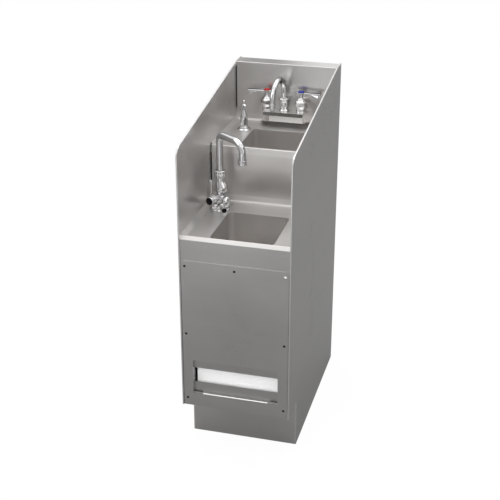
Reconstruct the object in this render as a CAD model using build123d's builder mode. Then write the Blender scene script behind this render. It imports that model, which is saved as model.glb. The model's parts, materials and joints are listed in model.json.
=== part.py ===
from build123d import *
import math
import os

os.makedirs("parts", exist_ok=True)

# Overall sizes, in millimetres. X runs across, Y from front to back, Z up from the floor.
width = 304.8
depth = 609.6
height = 981
sheet = 1.2
cut = 3

# Side panels
hem_thickness = 4.2
hem_width = 12
hem_round = 1.2
splash_front_drop = 86
splash_corner_radius = 29
ledge_depth = 51
ledge_drop = 1.6
kick_height = 145
kick_depth = 96.5

# Decks, riser and splash
splash_rise = 176
tier_step = 157
riser_lip = 5
riser_depth = 297
rim_width = 15
rim_rise = 9
bend_radius = 2
cove_radius = 8
cove_height = 20
nose_setback = 13
nose_back = 26
deck_flange = 28
ridge_depth = 8
ridge_slope = 3
riser_weld_height = 54
splash_weld_height = 35
ledge_flange = 50
relief_radius = 1.6

# Bowls
bowl_margin = 76
bowl_width = 174
bowl_radius = 15
bowl_flange = 9
bowl_bottom_radius = 12
lower_bowl_front_margin = 27
lower_bowl_back_margin = 81
lower_bowl_depth = 127
upper_bowl_front_margin = 12
upper_bowl_back_margin = 83.6
upper_bowl_depth = 140

# Front
apron_height = 88
apron_overlap = 30
panel_stand = 3
panel_side = 6
panel_bottom = 150
panel_chamfer = 7
stile_width = 22
screw_inset = 16.2
screw_top_inset = 16
screw_bottom_inset = 19.8
screw_head_radius = 3.9
screw_shank_radius = 2
screw_length = 12
shelf_height = 146.2
shelf_lip = 20
rail_height = 36
lower_rail_bottom = 150
upper_rail_drop = 52

# Towel dispenser
recess_margin = 32.9
recess_height = 103.5
recess_bottom = 187.5
recess_depth = 10
recess_flange = 6
window_inset = 1.5
window_height = 44.3
window_bottom = 219.4
tongue_inset = 23.5
towel_box_depth = 104
towel_box_height = 112
towel_side_clearance = 2
towel_depth = 84
towel_height = 78
towel_setback = 9
towel_shift = 1.9
towel_round = 2.5

# Base
base_rail_width = 34
base_rail_leg = 22
base_rail_sheet = 2
foot_pad_radius = 14
foot_pad_height = 7
foot_stud_radius = 4
foot_nut_radius = 8
foot_nut_height = 6
foot_stud_height = 44
foot_front_setback = 30
foot_back_setback = 34

# Faucet shelf
faucet_shelf_rise = 43.5
faucet_shelf_depth = 46.6
faucet_shelf_front_width = 118
faucet_shelf_back_width = 160
faucet_shelf_height = 30
faucet_shelf_lip = 11
faucet_shelf_lip_depth = 4
faucet_shelf_shift = 2

# Upper faucet
faucet_wall_gap = 22.5
valve_spacing = 101.6
inlet_radius = 10.4
inlet_bore = 6.5
inlet_reach = 26
fit_clearance = 0.6
running_clearance = 0.3
body_bar_length = 116
body_bar_depth = 21
body_bar_height = 22
bonnet_radius = 16
bonnet_height = 42
stem_radius = 5.2
stem_height = 9
hub_radius = 14
hub_height = 40
gooseneck_radius = 7.6
gooseneck_swing = 5
gooseneck_wall = 1
gooseneck_bend = 52.5
gooseneck_straight = 12
gooseneck_drop = 3
upper_aerator_radius = 8.6
upper_aerator_height = 17
upper_aerator_collar = 10
aerator_screen = 2.4
aerator_screen_setback = 1.4
handle_hub_radius = 8.6
handle_hub_height = 11
handle_reach = 57
handle_tail = 18
handle_root_width = 11
handle_tip_width = 15
handle_blade = 3.4
handle_flare = 11
index_radius = 8.6
index_height = 3.4
locknut_radius = 17
locknut_height = 7

# Soap dispenser
soap_margin = 51
soap_splash_setback = 93.6
soap_flange_radius = 20
soap_flange_height = 5
soap_body_radius = 10.4
soap_body_height = 54
soap_stem_radius = 3.2
soap_travel = 6
soap_head_radius = 8
soap_head_height = 23
soap_nozzle_radius = 3.4
soap_nozzle_reach = 34
soap_shank_radius = 11
soap_shank_length = 38
soap_nut_radius = 15.4
soap_nut_height = 8
soap_bottle_radius = 21
soap_bottle_height = 120
soap_bottle_wall = 1.6

# Lower faucet
lower_faucet_margin = 47
lower_faucet_setback = 65
deck_flange_radius = 27
deck_flange_height = 8
deck_body_radius = 12
deck_body_height = 93
deck_nut_radius = 14.4
deck_nut_height = 21
lower_tube_radius = 9.3
lower_tube_wall = 1.1
lower_tube_rise = 102
lower_tube_tight_bend = 15
lower_tube_wide_bend = 32
lower_tube_reach = 97
lower_tube_drop = 14
lower_aerator_radius = 10.6
lower_aerator_height = 15
lower_aerator_collar = 11.6
lower_spout_angle = 55
lever_height = 38
lever_arm_angle = 20
lever_arm_length = 36
lever_arm_radius = 9.5
lever_hub_radius = 11.6
lever_hub_length = 14
lever_blade_height = 60
lever_blade_width = 8
lever_blade_tip_width = 10
lever_blade_thickness = 4
lever_index_radius = 9.6
lever_index_height = 3
knob_height = 17
knob_arm_angle = 27
knob_arm_length = 30
knob_arm_radius = 7
knob_radius = 7.6
knob_length = 26
knob_cap_height = 3
shank_length = 46
shank_radius = 10.4
shank_nut_radius = 18
inlet_tail_radius = 4.8
inlet_tail_length = 70
inlet_tail_wall = 1

# Drains
drain_hole_radius = 26
drain_flange_radius = 36
drain_flange_height = 2
drain_body_radius = 25.4
drain_body_height = 42
drain_bore = 22.5
drain_nut_radius = 33
drain_nut_height = 9
tailpiece_radius = 19.05
tailpiece_bore = 17.8
tailpiece_length = 100
lower_tail_share = 0.557
basket_radius = 21.6
basket_height = 18
basket_wall = 1.2
basket_rim_radius = 28
basket_knob_radius = 5
basket_knob_height = 16
basket_hole_radius = 2
basket_hole_ring = 13
basket_hole_count = 10

# Places worked out from the sizes
left = -width / 2
right = width / 2
front = -depth / 2
back = depth / 2
riser_y = front + riser_depth
splash_y = back - ledge_depth
splash_front_height = height - splash_front_drop
upper_deck_height = height - splash_rise
lower_deck_height = upper_deck_height - tier_step
riser_top = upper_deck_height + riser_lip
riser_gap_bottom = lower_deck_height + riser_weld_height
splash_gap_bottom = upper_deck_height + splash_weld_height
faucet_shelf_top = upper_deck_height + faucet_shelf_rise
apron_bottom = lower_deck_height - apron_height
panel_top = apron_bottom + apron_overlap
skin_left = left + sheet
skin_right = right - sheet
hem_left = left + hem_thickness
hem_right = right - hem_thickness
bowl_x = left + bowl_margin + bowl_width / 2
lower_bowl_length = riser_depth - lower_bowl_front_margin - lower_bowl_back_margin
upper_bowl_length = splash_y - riser_y - upper_bowl_front_margin - upper_bowl_back_margin
lower_bowl_y = front + lower_bowl_front_margin + lower_bowl_length / 2
upper_bowl_y = riser_y + upper_bowl_front_margin + upper_bowl_length / 2
apron_y = front + panel_stand
ledge_top = height - ledge_drop


def write(piece, name):
    """Labels a finished piece and writes it under its name."""
    piece.part.label = name
    export_step(piece.part, f"parts/{name}.step")


def turn(seat, outline, mode=Mode.ADD):
    """Revolves an outline of radius and height about the seat's axis, in the part being built."""
    section = Plane(origin=seat.origin, x_dir=seat.x_dir, z_dir=seat.x_dir.cross(seat.z_dir))
    with BuildSketch(section) as profile:
        with BuildLine():
            Polyline(*outline, close=True)
        make_face()
    revolve(profile.sketch, axis=Axis(seat.origin, seat.z_dir), mode=mode)


def turned_shape(seat, radius, length, shares, bore=0):
    """Makes a turned solid whose outline is shares of its radius and length, with a bore."""
    outline = [(bore, 0)]
    outline += [(radius * r, length * h) for r, h in shares]
    outline += [(bore, length)]
    with BuildPart() as piece:
        turn(seat, outline)
    return piece


def fold(path, radii, x_from, x_to):
    """Folds sheet along a path of depth and height, and runs it across from one x to another."""
    with BuildSketch(Plane.YZ.offset(x_from)) as strip:
        with BuildLine():
            FilletPolyline(*path, radius=radii)
            offset(amount=sheet, side=Side.RIGHT)
        make_face()
    extrude(strip.sketch, amount=x_to - x_from)


def block(x_range, y_range, z_range, mode=Mode.ADD):
    """Adds or cuts a plain block between three pairs of limits."""
    (x0, x1), (y0, y1), (z0, z1) = x_range, y_range, z_range
    with BuildSketch(Plane.XY.offset(z0)) as base:
        with Locations(((x0 + x1) / 2, (y0 + y1) / 2)):
            Rectangle(x1 - x0, y1 - y0)
    extrude(base.sketch, amount=z1 - z0, mode=mode)


def bore_hole(seat, radius, length, mode=Mode.SUBTRACT):
    """Cuts a round hole along the seat's axis."""
    with BuildSketch(seat) as mouth:
        Circle(radius)
    extrude(mouth.sketch, amount=length, mode=mode)


# Side panels: a skin with a folded hem round its whole edge
def side_panel(skin_x, inward):
    corners = [
        (front, kick_height),
        (front, splash_front_height),
        (splash_y, height),
        (back, height),
        (back, 0),
        (front + kick_depth, 0),
        (front + kick_depth, kick_height),
    ]
    with BuildPart() as piece:
        with BuildSketch(Plane.YZ.offset(skin_x)) as skin:
            with BuildLine():
                Polyline(*corners, close=True)
            make_face()
            fillet(vertices().sort_by_distance((front, splash_front_height))[0], radius=splash_corner_radius)
        extrude(skin.sketch, amount=inward * sheet)
        with BuildSketch(Plane.YZ.offset(skin_x)) as hem:
            with BuildLine():
                Polyline(*corners, close=True)
            make_face()
            fillet(vertices().sort_by_distance((front, splash_front_height))[0], radius=splash_corner_radius)
            offset(amount=-hem_width, kind=Kind.INTERSECTION, mode=Mode.SUBTRACT)
        extrude(hem.sketch, amount=inward * hem_thickness)
        outer_face = faces().filter_by(Axis.X).sort_by(Axis.X)[0 if inward > 0 else -1]
        fillet(outer_face.outer_wire().edges(), radius=hem_round)
    return piece


left_side_panel = side_panel(left, 1)
write(left_side_panel, "left_side_panel")

right_side_panel = side_panel(right, -1)
write(right_side_panel, "right_side_panel")


# Bowls: drawn shells with a flange that seats under the deck
def bowl(centre_y, deck_height, length, bowl_depth):
    seat_z = deck_height - sheet
    with BuildPart() as piece:
        with BuildSketch(Plane.XY.offset(seat_z)):
            with Locations((bowl_x, centre_y)):
                RectangleRounded(bowl_width + 2 * sheet, length + 2 * sheet, bowl_radius + sheet)
        extrude(amount=-bowl_depth)
        floor_edges = faces().sort_by(Axis.Z)[0].edges()
        fillet(floor_edges, radius=bowl_bottom_radius)
        offset(amount=-sheet, openings=faces().sort_by(Axis.Z)[-1])
        with BuildSketch(Plane.XY.offset(seat_z)):
            with Locations((bowl_x, centre_y)):
                flange_size = (bowl_width + 2 * bowl_flange, length + 2 * bowl_flange)
                RectangleRounded(*flange_size, bowl_radius + bowl_flange)
                RectangleRounded(bowl_width, length, bowl_radius, mode=Mode.SUBTRACT)
        extrude(amount=-sheet)
        bore_hole(drain_seat(centre_y, deck_height, bowl_depth), drain_hole_radius, cut)
    return piece


def drain_seat(centre_y, deck_height, bowl_depth):
    """The plane at the underside of a bowl's floor, about the drain's axis, facing up."""
    return Plane(origin=(bowl_x, centre_y, deck_height - sheet - bowl_depth), z_dir=(0, 0, 1))


lower_bowl = bowl(lower_bowl_y, lower_deck_height, lower_bowl_length, lower_bowl_depth)
write(lower_bowl, "lower_bowl")

upper_bowl = bowl(upper_bowl_y, upper_deck_height, upper_bowl_length, upper_bowl_depth)
write(upper_bowl, "upper_bowl")


def rim(side_x, inward, deck_height, y_from, y_to):
    """Adds the raised rim that climbs from the pan to a side panel's skin."""
    foot = side_x + inward * rim_width
    path = [
        (foot + inward * bend_radius, deck_height),
        (foot, deck_height),
        (side_x + inward * sheet, deck_height + rim_rise),
    ]
    with BuildSketch(Plane.XZ.offset(-y_to)) as strip:
        with BuildLine():
            Polyline(*path)
            offset(amount=sheet, side=Side.LEFT if inward > 0 else Side.RIGHT)
        make_face()
    extrude(strip.sketch, amount=y_to - y_from)
    lip = sorted((side_x + inward * sheet, side_x + inward * 2 * sheet))
    block(lip, (y_from, y_to), (deck_height + rim_rise - 2 * sheet, deck_height + rim_rise))
    skin = sorted((side_x - inward * cut, side_x + inward * sheet))
    block(skin, (y_from, y_to), (deck_height - rim_rise, deck_height + 2 * rim_rise), mode=Mode.SUBTRACT)


def open_bowl(centre_y, length, deck_height):
    """Cuts a bowl's opening through its deck."""
    with BuildSketch(Plane.XY.offset(deck_height - cut)) as mouth:
        with Locations((bowl_x, centre_y)):
            RectangleRounded(bowl_width, length, bowl_radius)
    extrude(mouth.sketch, amount=2 * cut, mode=Mode.SUBTRACT)


# Lower deck: front flange, nose, pan and cove in one folded sheet, with a rim at each side
lower_faucet_x = left + lower_faucet_margin
lower_faucet_y = riser_y - lower_faucet_setback
flange_y = apron_y + sheet
nose_path = [
    (flange_y, lower_deck_height - deck_flange),
    (flange_y, lower_deck_height),
    (front + nose_setback, lower_deck_height + rim_rise),
    (front + nose_back, lower_deck_height),
]
cove_path = [(riser_y, lower_deck_height), (riser_y, lower_deck_height + cove_height)]
with BuildPart() as lower_deck:
    pan_radii = (bend_radius, bend_radius, bend_radius, cove_radius)
    fold(nose_path + cove_path, pan_radii, left + rim_width, right - rim_width)
    for x_from, x_to in ((hem_left, left + rim_width), (right - rim_width, hem_right)):
        fold(nose_path, (bend_radius, bend_radius), x_from, x_to)
    for x_from, x_to in ((skin_left, left + rim_width), (right - rim_width, skin_right)):
        fold([(riser_y - cove_height, lower_deck_height)] + cove_path, (cove_radius,), x_from, x_to)
    rim(left, 1, lower_deck_height, front + hem_width, riser_y)
    rim(right, -1, lower_deck_height, front + hem_width, riser_y)
    open_bowl(lower_bowl_y, lower_bowl_length, lower_deck_height)
    faucet_hole = Plane(origin=(lower_faucet_x, lower_faucet_y, lower_deck_height - cut), z_dir=(0, 0, 1))
    bore_hole(faucet_hole, shank_radius + fit_clearance, 2 * cut)
    relief_inset = sheet + 2 * relief_radius
    relief_y = front + hem_width + 2 * relief_radius
    for relief_x in (left + relief_inset, right - relief_inset):
        relief = Plane(origin=(relief_x, relief_y, lower_deck_height), z_dir=(0, 0, 1))
        bore_hole(relief, relief_radius, 2 * rim_rise)
write(lower_deck, "lower_deck")

# Riser panel: a flat step face, cut back at its ends above the lower welds
riser_bottom = lower_deck_height + cove_height
riser_seam = riser_top - cove_height
with BuildPart() as riser_panel:
    block((skin_left, skin_right), (riser_y, riser_y + sheet), (riser_bottom, riser_gap_bottom))
    block((hem_left, hem_right), (riser_y, riser_y + sheet), (riser_gap_bottom, riser_seam))
write(riser_panel, "riser_panel")

# Upper deck: front flange, ridge, pan and cove, with a rim at each side
soap_x = left + soap_margin
soap_y = splash_y - soap_splash_setback
upper_path = [
    (riser_y, riser_seam),
    (riser_y, riser_top),
    (riser_y + ridge_depth, riser_top),
    (riser_y + ridge_depth + ridge_slope, upper_deck_height),
    (splash_y, upper_deck_height),
    (splash_y, upper_deck_height + cove_height),
]
with BuildPart() as upper_deck:
    upper_radii = (bend_radius, bend_radius, bend_radius, cove_radius)
    fold(upper_path, upper_radii, left + rim_width, right - rim_width)
    for x_from, x_to in ((hem_left, left + rim_width), (right - rim_width, hem_right)):
        fold(upper_path[:4], (bend_radius, bend_radius), x_from, x_to)
    for x_from, x_to in ((skin_left, left + rim_width), (right - rim_width, skin_right)):
        fold([(splash_y - cove_height, upper_deck_height)] + upper_path[4:], (cove_radius,), x_from, x_to)
    rim(left, 1, upper_deck_height, riser_y + ridge_depth, splash_y)
    rim(right, -1, upper_deck_height, riser_y + ridge_depth, splash_y)
    open_bowl(upper_bowl_y, upper_bowl_length, upper_deck_height)
    soap_hole = Plane(origin=(soap_x, soap_y, upper_deck_height - cut), z_dir=(0, 0, 1))
    bore_hole(soap_hole, soap_shank_radius + fit_clearance, 2 * cut)
write(upper_deck, "upper_deck")

# Back splash: lower strip welded to the sides, then the splash, ledge and back flange between the hems
faucet_y = splash_y - faucet_wall_gap
inlet_root_radius = inlet_radius + running_clearance
inlet_z = faucet_shelf_top - sheet - body_bar_height / 2
splash_bottom = upper_deck_height + cove_height
ledge_path = [
    (splash_y, splash_gap_bottom),
    (splash_y, ledge_top),
    (back, ledge_top),
    (back, ledge_top - ledge_flange),
]
with BuildPart() as back_splash:
    block((skin_left, skin_right), (splash_y, splash_y + sheet), (splash_bottom, splash_gap_bottom))
    fold(ledge_path, (bend_radius, bend_radius), hem_left, hem_right)
    for side in (-1, 1):
        inlet_seat = Plane(origin=(side * valve_spacing / 2, splash_y - cut, inlet_z), z_dir=(0, 1, 0))
        bore_hole(inlet_seat, inlet_radius + fit_clearance, 2 * cut)
write(back_splash, "back_splash")

# Front apron: closes the front above the access panel and backs its top edge
screw_top = panel_top - screw_top_inset
screw_bottom = panel_bottom + screw_bottom_inset
screw_middle = (screw_top + screw_bottom) / 2
screw_rows = [
    [(left + screw_inset, screw_top), (0, screw_top), (right - screw_inset, screw_top)],
    [(left + screw_inset, screw_middle), (right - screw_inset, screw_middle)],
    [(left + screw_inset, screw_bottom), (right - screw_inset, screw_bottom)],
]
screw_places = [place for row in screw_rows for place in row]
open_place = screw_rows[0][-1]


def screw_seat(place, y):
    """The plane at a screw place that faces the back."""
    return Plane(origin=(place[0], y, place[1]), x_dir=(1, 0, 0), z_dir=(0, 1, 0))


with BuildPart() as front_apron:
    block((hem_left, hem_right), (apron_y, apron_y + sheet), (apron_bottom, lower_deck_height))
    for place in screw_rows[0]:
        hole = screw_head_radius if place == open_place else screw_shank_radius
        bore_hole(screw_seat(place, apron_y - cut), hole, 2 * cut)
write(front_apron, "front_apron")

# Front stiles: angles inside the hems that the access panel screws to
with BuildPart() as front_stiles:
    with BuildSketch(Plane.XY.offset(shelf_height)) as stile:
        with BuildLine():
            FilletPolyline(
                (hem_left + stile_width, apron_y),
                (hem_left, apron_y),
                (hem_left, front + hem_width),
                radius=bend_radius,
            )
            offset(amount=sheet, side=Side.RIGHT)
        make_face()
    extrude(stile.sketch, amount=apron_bottom - shelf_height)
    for row in screw_rows[1:]:
        bore_hole(screw_seat(row[0], apron_y - cut), screw_shank_radius, 2 * cut)
    mirror(about=Plane.YZ)
write(front_stiles, "front_stiles")

# Access panel: a shallow pan with clipped top corners, screw places and the towel recess
recess_left = left + recess_margin
window_right = -recess_left - window_inset
tongue_end = -recess_left - tongue_inset
recess_top = recess_bottom + recess_height


def panel_outline(inset):
    """The points of the panel's outline, drawn in by an inset."""
    x0, x1 = left + panel_side + inset, right - panel_side - inset
    z0, z1 = panel_bottom + inset, panel_top - inset
    return [
        (x0, z0),
        (x1, z0),
        (x1, z1 - panel_chamfer),
        (x1 - panel_chamfer, z1),
        (x0 + panel_chamfer, z1),
        (x0, z1 - panel_chamfer),
    ]


with BuildPart() as access_panel:
    with BuildSketch(Plane.XZ.offset(-front)) as face:
        with BuildLine():
            Polyline(*panel_outline(0), close=True)
        make_face()
    extrude(face.sketch, amount=-panel_stand)
    with BuildSketch(Plane.XZ.offset(-apron_y)) as hollow:
        with BuildLine():
            Polyline(*panel_outline(sheet), close=True)
        make_face()
    extrude(hollow.sketch, amount=panel_stand - sheet, mode=Mode.SUBTRACT)
    recess_y = (front - cut, apron_y)
    block((recess_left, -recess_left), recess_y, (recess_bottom, recess_top), mode=Mode.SUBTRACT)
    for place in screw_places:
        countersink = [(0, 0), (screw_head_radius, 0), (screw_shank_radius, sheet), (0, sheet)]
        if place == open_place:
            countersink = [(0, 0), (screw_head_radius, 0), (screw_head_radius, sheet), (0, sheet)]
        turn(screw_seat(place, front), countersink, mode=Mode.SUBTRACT)
write(access_panel, "access_panel")

# Panel screws: countersunk, one in every place but the open one
with BuildPart() as panel_screws:
    for place in screw_places:
        if place != open_place:
            screw_outline = [
                (0, 0),
                (screw_head_radius, 0),
                (screw_shank_radius, sheet),
                (screw_shank_radius, screw_length),
                (0, screw_length),
            ]
            turn(screw_seat(place, front), screw_outline)
write(panel_screws, "panel_screws")

# Towel insert: a recessed plate with the slot, a flange behind the panel and a tongue under the slot
recess_plate_y = front + recess_depth
insert_back = recess_plate_y + sheet
insert_front = front + sheet
with BuildPart() as towel_insert:
    wall_right = -recess_left + sheet
    block((-wall_right, wall_right), (insert_front, insert_back), (recess_bottom - sheet, recess_top + sheet))
    flange_right = wall_right + recess_flange
    flange_z = (recess_bottom - sheet - recess_flange, recess_top + sheet + recess_flange)
    block((-flange_right, flange_right), (insert_front, insert_front + sheet), flange_z)
    tray_y = (insert_front, recess_plate_y)
    block((recess_left, -recess_left), tray_y, (recess_bottom, recess_top), mode=Mode.SUBTRACT)
    slot_z = (window_bottom, window_bottom + window_height)
    block((-window_right, window_right), (insert_front, insert_back), slot_z, mode=Mode.SUBTRACT)
    for side in (-1, 1):
        notch = sorted((side * tongue_end, side * -recess_left))
        notch_y = (insert_front + sheet, recess_plate_y)
        block(notch, notch_y, (recess_bottom - sheet, recess_bottom), mode=Mode.SUBTRACT)
write(towel_insert, "towel_insert")

# Towel box: a tray behind the slot, open at the top for loading
tray_z = recess_bottom - sheet
tray_back = insert_back + towel_box_depth
with BuildPart() as towel_box:
    block((-wall_right, wall_right), (insert_back, tray_back), (tray_z, tray_z + towel_box_height))
    inner = (-wall_right + sheet, wall_right - sheet)
    tray_inside = (tray_z + sheet, tray_z + towel_box_height)
    block(inner, (insert_back, tray_back - sheet), tray_inside, mode=Mode.SUBTRACT)
write(towel_box, "towel_box")

# Folded paper towels: a stack that lies on the tray's floor
towel_front = insert_back + towel_setback
with BuildPart() as paper_towels:
    towel_end = window_right - towel_side_clearance
    stack_x = (towel_shift - towel_end, towel_shift + towel_end)
    block(stack_x, (towel_front, towel_front + towel_depth), (recess_bottom, recess_bottom + towel_height))
    fillet(edges().filter_by(Axis.X), radius=towel_round)
write(paper_towels, "paper_towels")

# Toe kick: a plate between the hems of the toe notch
kick_y = front + kick_depth
with BuildPart() as toe_kick:
    block((hem_left, hem_right), (kick_y, kick_y + sheet), (0, shelf_height - sheet))
write(toe_kick, "toe_kick")

# Bottom shelf: a flat plate between the hems
shelf_underside = shelf_height - sheet
with BuildPart() as bottom_shelf:
    block((hem_left, hem_right), (apron_y, back), (shelf_underside, shelf_height))
write(bottom_shelf, "bottom_shelf")

# Shelf edges: a strip that stands on the shelf's front edge between the stiles, and one under its back edge
with BuildPart() as shelf_edges:
    stile_end = hem_left + stile_width + sheet
    block((stile_end, -stile_end), (apron_y, apron_y + sheet), (shelf_height, shelf_height + shelf_lip))
    block((hem_left, hem_right), (back - sheet, back), (shelf_height - shelf_lip, shelf_underside))
write(shelf_edges, "shelf_edges")

# Rear rails: flat bars between the hems that tie the open back
with BuildPart() as rear_rails:
    for rail_bottom in (lower_rail_bottom, lower_deck_height - upper_rail_drop):
        block((hem_left, hem_right), (back - 2 * sheet, back), (rail_bottom, rail_bottom + rail_height))
write(rear_rails, "rear_rails")

# Base rails: angles inside the bottom hems that carry the feet
with BuildPart() as base_rails:
    rail_y = (kick_y + sheet, back)
    block((hem_left, hem_left + base_rail_sheet), rail_y, (base_rail_sheet, base_rail_leg))
    rail_floor = (base_rail_leg - base_rail_sheet, base_rail_leg)
    block((hem_left, hem_left + base_rail_width), rail_y, rail_floor)
    foot_x = hem_left + base_rail_width / 2 + base_rail_sheet
    foot_rows = (kick_y + foot_front_setback, back - foot_back_setback)
    for foot_y in foot_rows:
        foot_hole = Plane(origin=(foot_x, foot_y, base_rail_sheet), z_dir=(0, 0, 1))
        bore_hole(foot_hole, foot_stud_radius, base_rail_leg)
    mirror(about=Plane.YZ)
write(base_rails, "base_rails")

# Levelling feet: a pad, a stud and a nut on each
with BuildPart() as levelling_feet:
    for foot_y in foot_rows:
        foot_seat = Plane(origin=(foot_x, foot_y, 0), z_dir=(0, 0, 1))
        foot_outline = [
            (0, 0),
            (foot_pad_radius, 0),
            (foot_pad_radius, foot_pad_height / 2),
            (foot_stud_radius, foot_pad_height),
            (foot_stud_radius, base_rail_leg),
            (foot_nut_radius, base_rail_leg),
            (foot_nut_radius, base_rail_leg + foot_nut_height),
            (foot_stud_radius, base_rail_leg + foot_nut_height),
            (foot_stud_radius, foot_stud_height),
            (0, foot_stud_height),
        ]
        turn(foot_seat, foot_outline)
    mirror(about=Plane.YZ)
write(levelling_feet, "levelling_feet")

# Faucet shelf: a box open below and behind, with flared ends and a lip along its front edge
shelf_bottom = faucet_shelf_top - faucet_shelf_height
lip_y = splash_y - faucet_shelf_depth


def shelf_outline(inset, y_front, y_back):
    """The plan of the shelf, wider at the splash, with its ends drawn in by an inset."""
    half_front = faucet_shelf_front_width / 2 - inset
    half_back = faucet_shelf_back_width / 2 - inset
    return [
        (faucet_shelf_shift - half_front, y_front),
        (faucet_shelf_shift + half_front, y_front),
        (faucet_shelf_shift + half_back, y_back),
        (faucet_shelf_shift - half_back, y_back),
    ]


with BuildPart() as faucet_shelf:
    box_front = lip_y + faucet_shelf_lip_depth
    with BuildSketch(Plane.XY.offset(shelf_bottom)) as plan:
        with BuildLine():
            Polyline(*shelf_outline(0, box_front, splash_y), close=True)
        make_face()
    extrude(plan.sketch, amount=faucet_shelf_height)
    with BuildSketch(Plane.XY.offset(shelf_bottom)) as inside:
        with BuildLine():
            Polyline(*shelf_outline(sheet, box_front + sheet, splash_y + sheet), close=True)
        make_face()
    extrude(inside.sketch, amount=faucet_shelf_height - sheet, mode=Mode.SUBTRACT)
    lip_end = faucet_shelf_front_width / 2
    lip_x = (faucet_shelf_shift - lip_end, faucet_shelf_shift + lip_end)
    block(lip_x, (lip_y, box_front + sheet), (faucet_shelf_top - sheet, faucet_shelf_top))
    block(lip_x, (lip_y, lip_y + sheet), (faucet_shelf_top - faucet_shelf_lip, faucet_shelf_top))
    for hole_x in (-valve_spacing / 2, 0, valve_spacing / 2):
        shelf_hole = Plane(origin=(hole_x, faucet_y, faucet_shelf_top - cut), z_dir=(0, 0, 1))
        bore_hole(shelf_hole, stem_radius + running_clearance, 2 * cut)
write(faucet_shelf, "faucet_shelf")

# Upper faucet body: a bar under the shelf that joins the two valves and the spout
bar_top = faucet_shelf_top - sheet
with BuildPart() as upper_faucet_body:
    bar_y = (faucet_y - body_bar_depth / 2, faucet_y + body_bar_depth / 2)
    block((-body_bar_length / 2, body_bar_length / 2), bar_y, (bar_top - body_bar_height, bar_top))
    fillet(edges().filter_by(Axis.Z), radius=bend_radius)
    for post_x in (-valve_spacing / 2, 0, valve_spacing / 2):
        post = Plane(origin=(post_x, faucet_y, bar_top), z_dir=(0, 0, 1))
        bore_hole(post, stem_radius, sheet, mode=Mode.ADD)
write(upper_faucet_body, "upper_faucet_body")

# Inlet nipples: tubes from the faucet body back through the splash, a little thicker up to the locknuts
with BuildPart() as upper_inlets:
    nipple_foot = faucet_y + body_bar_depth / 2
    nipple_root = splash_y + sheet + locknut_height - nipple_foot
    nipple_length = splash_y + inlet_reach - nipple_foot
    for side in (-1, 1):
        nipple_seat = Plane(
            origin=(side * valve_spacing / 2, nipple_foot, inlet_z),
            x_dir=(1, 0, 0),
            z_dir=(0, 1, 0),
        )
        nipple = [
            (inlet_bore, 0),
            (inlet_root_radius, 0),
            (inlet_root_radius, nipple_root),
            (inlet_radius, nipple_root),
            (inlet_radius, nipple_length),
            (inlet_bore, nipple_length),
        ]
        turn(nipple_seat, nipple)
write(upper_inlets, "upper_inlets")

# Inlet locknuts: six-sided nuts on the nipples behind the splash
with BuildPart() as inlet_locknuts:
    for side in (-1, 1):
        nut_seat = Plane(
            origin=(side * valve_spacing / 2, splash_y + sheet, inlet_z),
            x_dir=(1, 0, 0),
            z_dir=(0, 1, 0),
        )
        with BuildSketch(nut_seat) as nut:
            RegularPolygon(locknut_radius, 6)
            Circle(inlet_root_radius, mode=Mode.SUBTRACT)
        extrude(nut.sketch, amount=locknut_height)
write(inlet_locknuts, "inlet_locknuts")

# Valve bonnets: necked bells that stand on the shelf, with a stem for the handle
bonnet_shares = [
    (0.86, 0),
    (0.8, 0.06),
    (0.72, 0.3),
    (0.86, 0.42),
    (1, 0.52),
    (1, 0.72),
    (0.8, 0.86),
    (0.5, 0.94),
    (0.42, 1),
]


def valve_bonnet(x):
    seat = Plane(origin=(x, faucet_y, faucet_shelf_top), z_dir=(0, 0, 1))
    stem_top = bonnet_height + stem_height
    with BuildPart() as piece:
        outline = [(0, 0)]
        outline += [(bonnet_radius * r, bonnet_height * h) for r, h in bonnet_shares]
        outline += [(0, bonnet_height)]
        turn(seat, outline)
        turn(seat, [(0, 0), (stem_radius, 0), (stem_radius, stem_top), (0, stem_top)])
    return piece


handle_seat_z = faucet_shelf_top + bonnet_height + stem_height


# Blade handles: a hub on the stem, a long blade with a flared end and a short tail
def blade_handle(x, outward):
    """A handle whose blade points outward, to the left for -1 and to the right for 1."""
    z_top = handle_seat_z + handle_hub_height - index_height
    seat = Plane(origin=(x, faucet_y, handle_seat_z), z_dir=(0, 0, 1))
    with BuildPart() as piece:
        turn(seat, [(0, 0), (stem_radius, 0), (handle_hub_radius, handle_hub_height / 2),
                    (handle_hub_radius, handle_hub_height - index_height),
                    (0, handle_hub_height - index_height)])
        with BuildSketch(Plane.XY.offset(z_top - handle_blade)) as plan:
            with BuildLine():
                Polyline(
                    (x - outward * handle_tail, faucet_y - handle_root_width / 2),
                    (x + outward * handle_reach, faucet_y - handle_tip_width / 2),
                    (x + outward * handle_reach, faucet_y + handle_tip_width / 2),
                    (x - outward * handle_tail, faucet_y + handle_root_width / 2),
                    close=True,
                )
            make_face()
            fillet(vertices(), radius=bend_radius)
        extrude(plan.sketch, amount=handle_blade)
        flare_root = x + outward * handle_reach / 2
        flare_tip = x + outward * (handle_reach - handle_blade)
        with BuildSketch(Plane.XZ.offset(-(faucet_y - handle_tip_width / 2 + handle_blade))) as flare:
            with BuildLine():
                Polyline(
                    (flare_root, z_top - handle_blade),
                    (flare_tip, z_top - handle_blade),
                    (flare_tip - outward * handle_blade, z_top - handle_blade - handle_flare),
                    close=True,
                )
            make_face()
        extrude(flare.sketch, amount=handle_blade / 2)
    return piece


def index_button(x):
    seat = Plane(origin=(x, faucet_y, handle_seat_z + handle_hub_height - index_height), z_dir=(0, 0, 1))
    return turned_shape(seat, index_radius, index_height, [(0.94, 0), (1, 0.3), (0.9, 0.85), (0.7, 1)])


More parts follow.
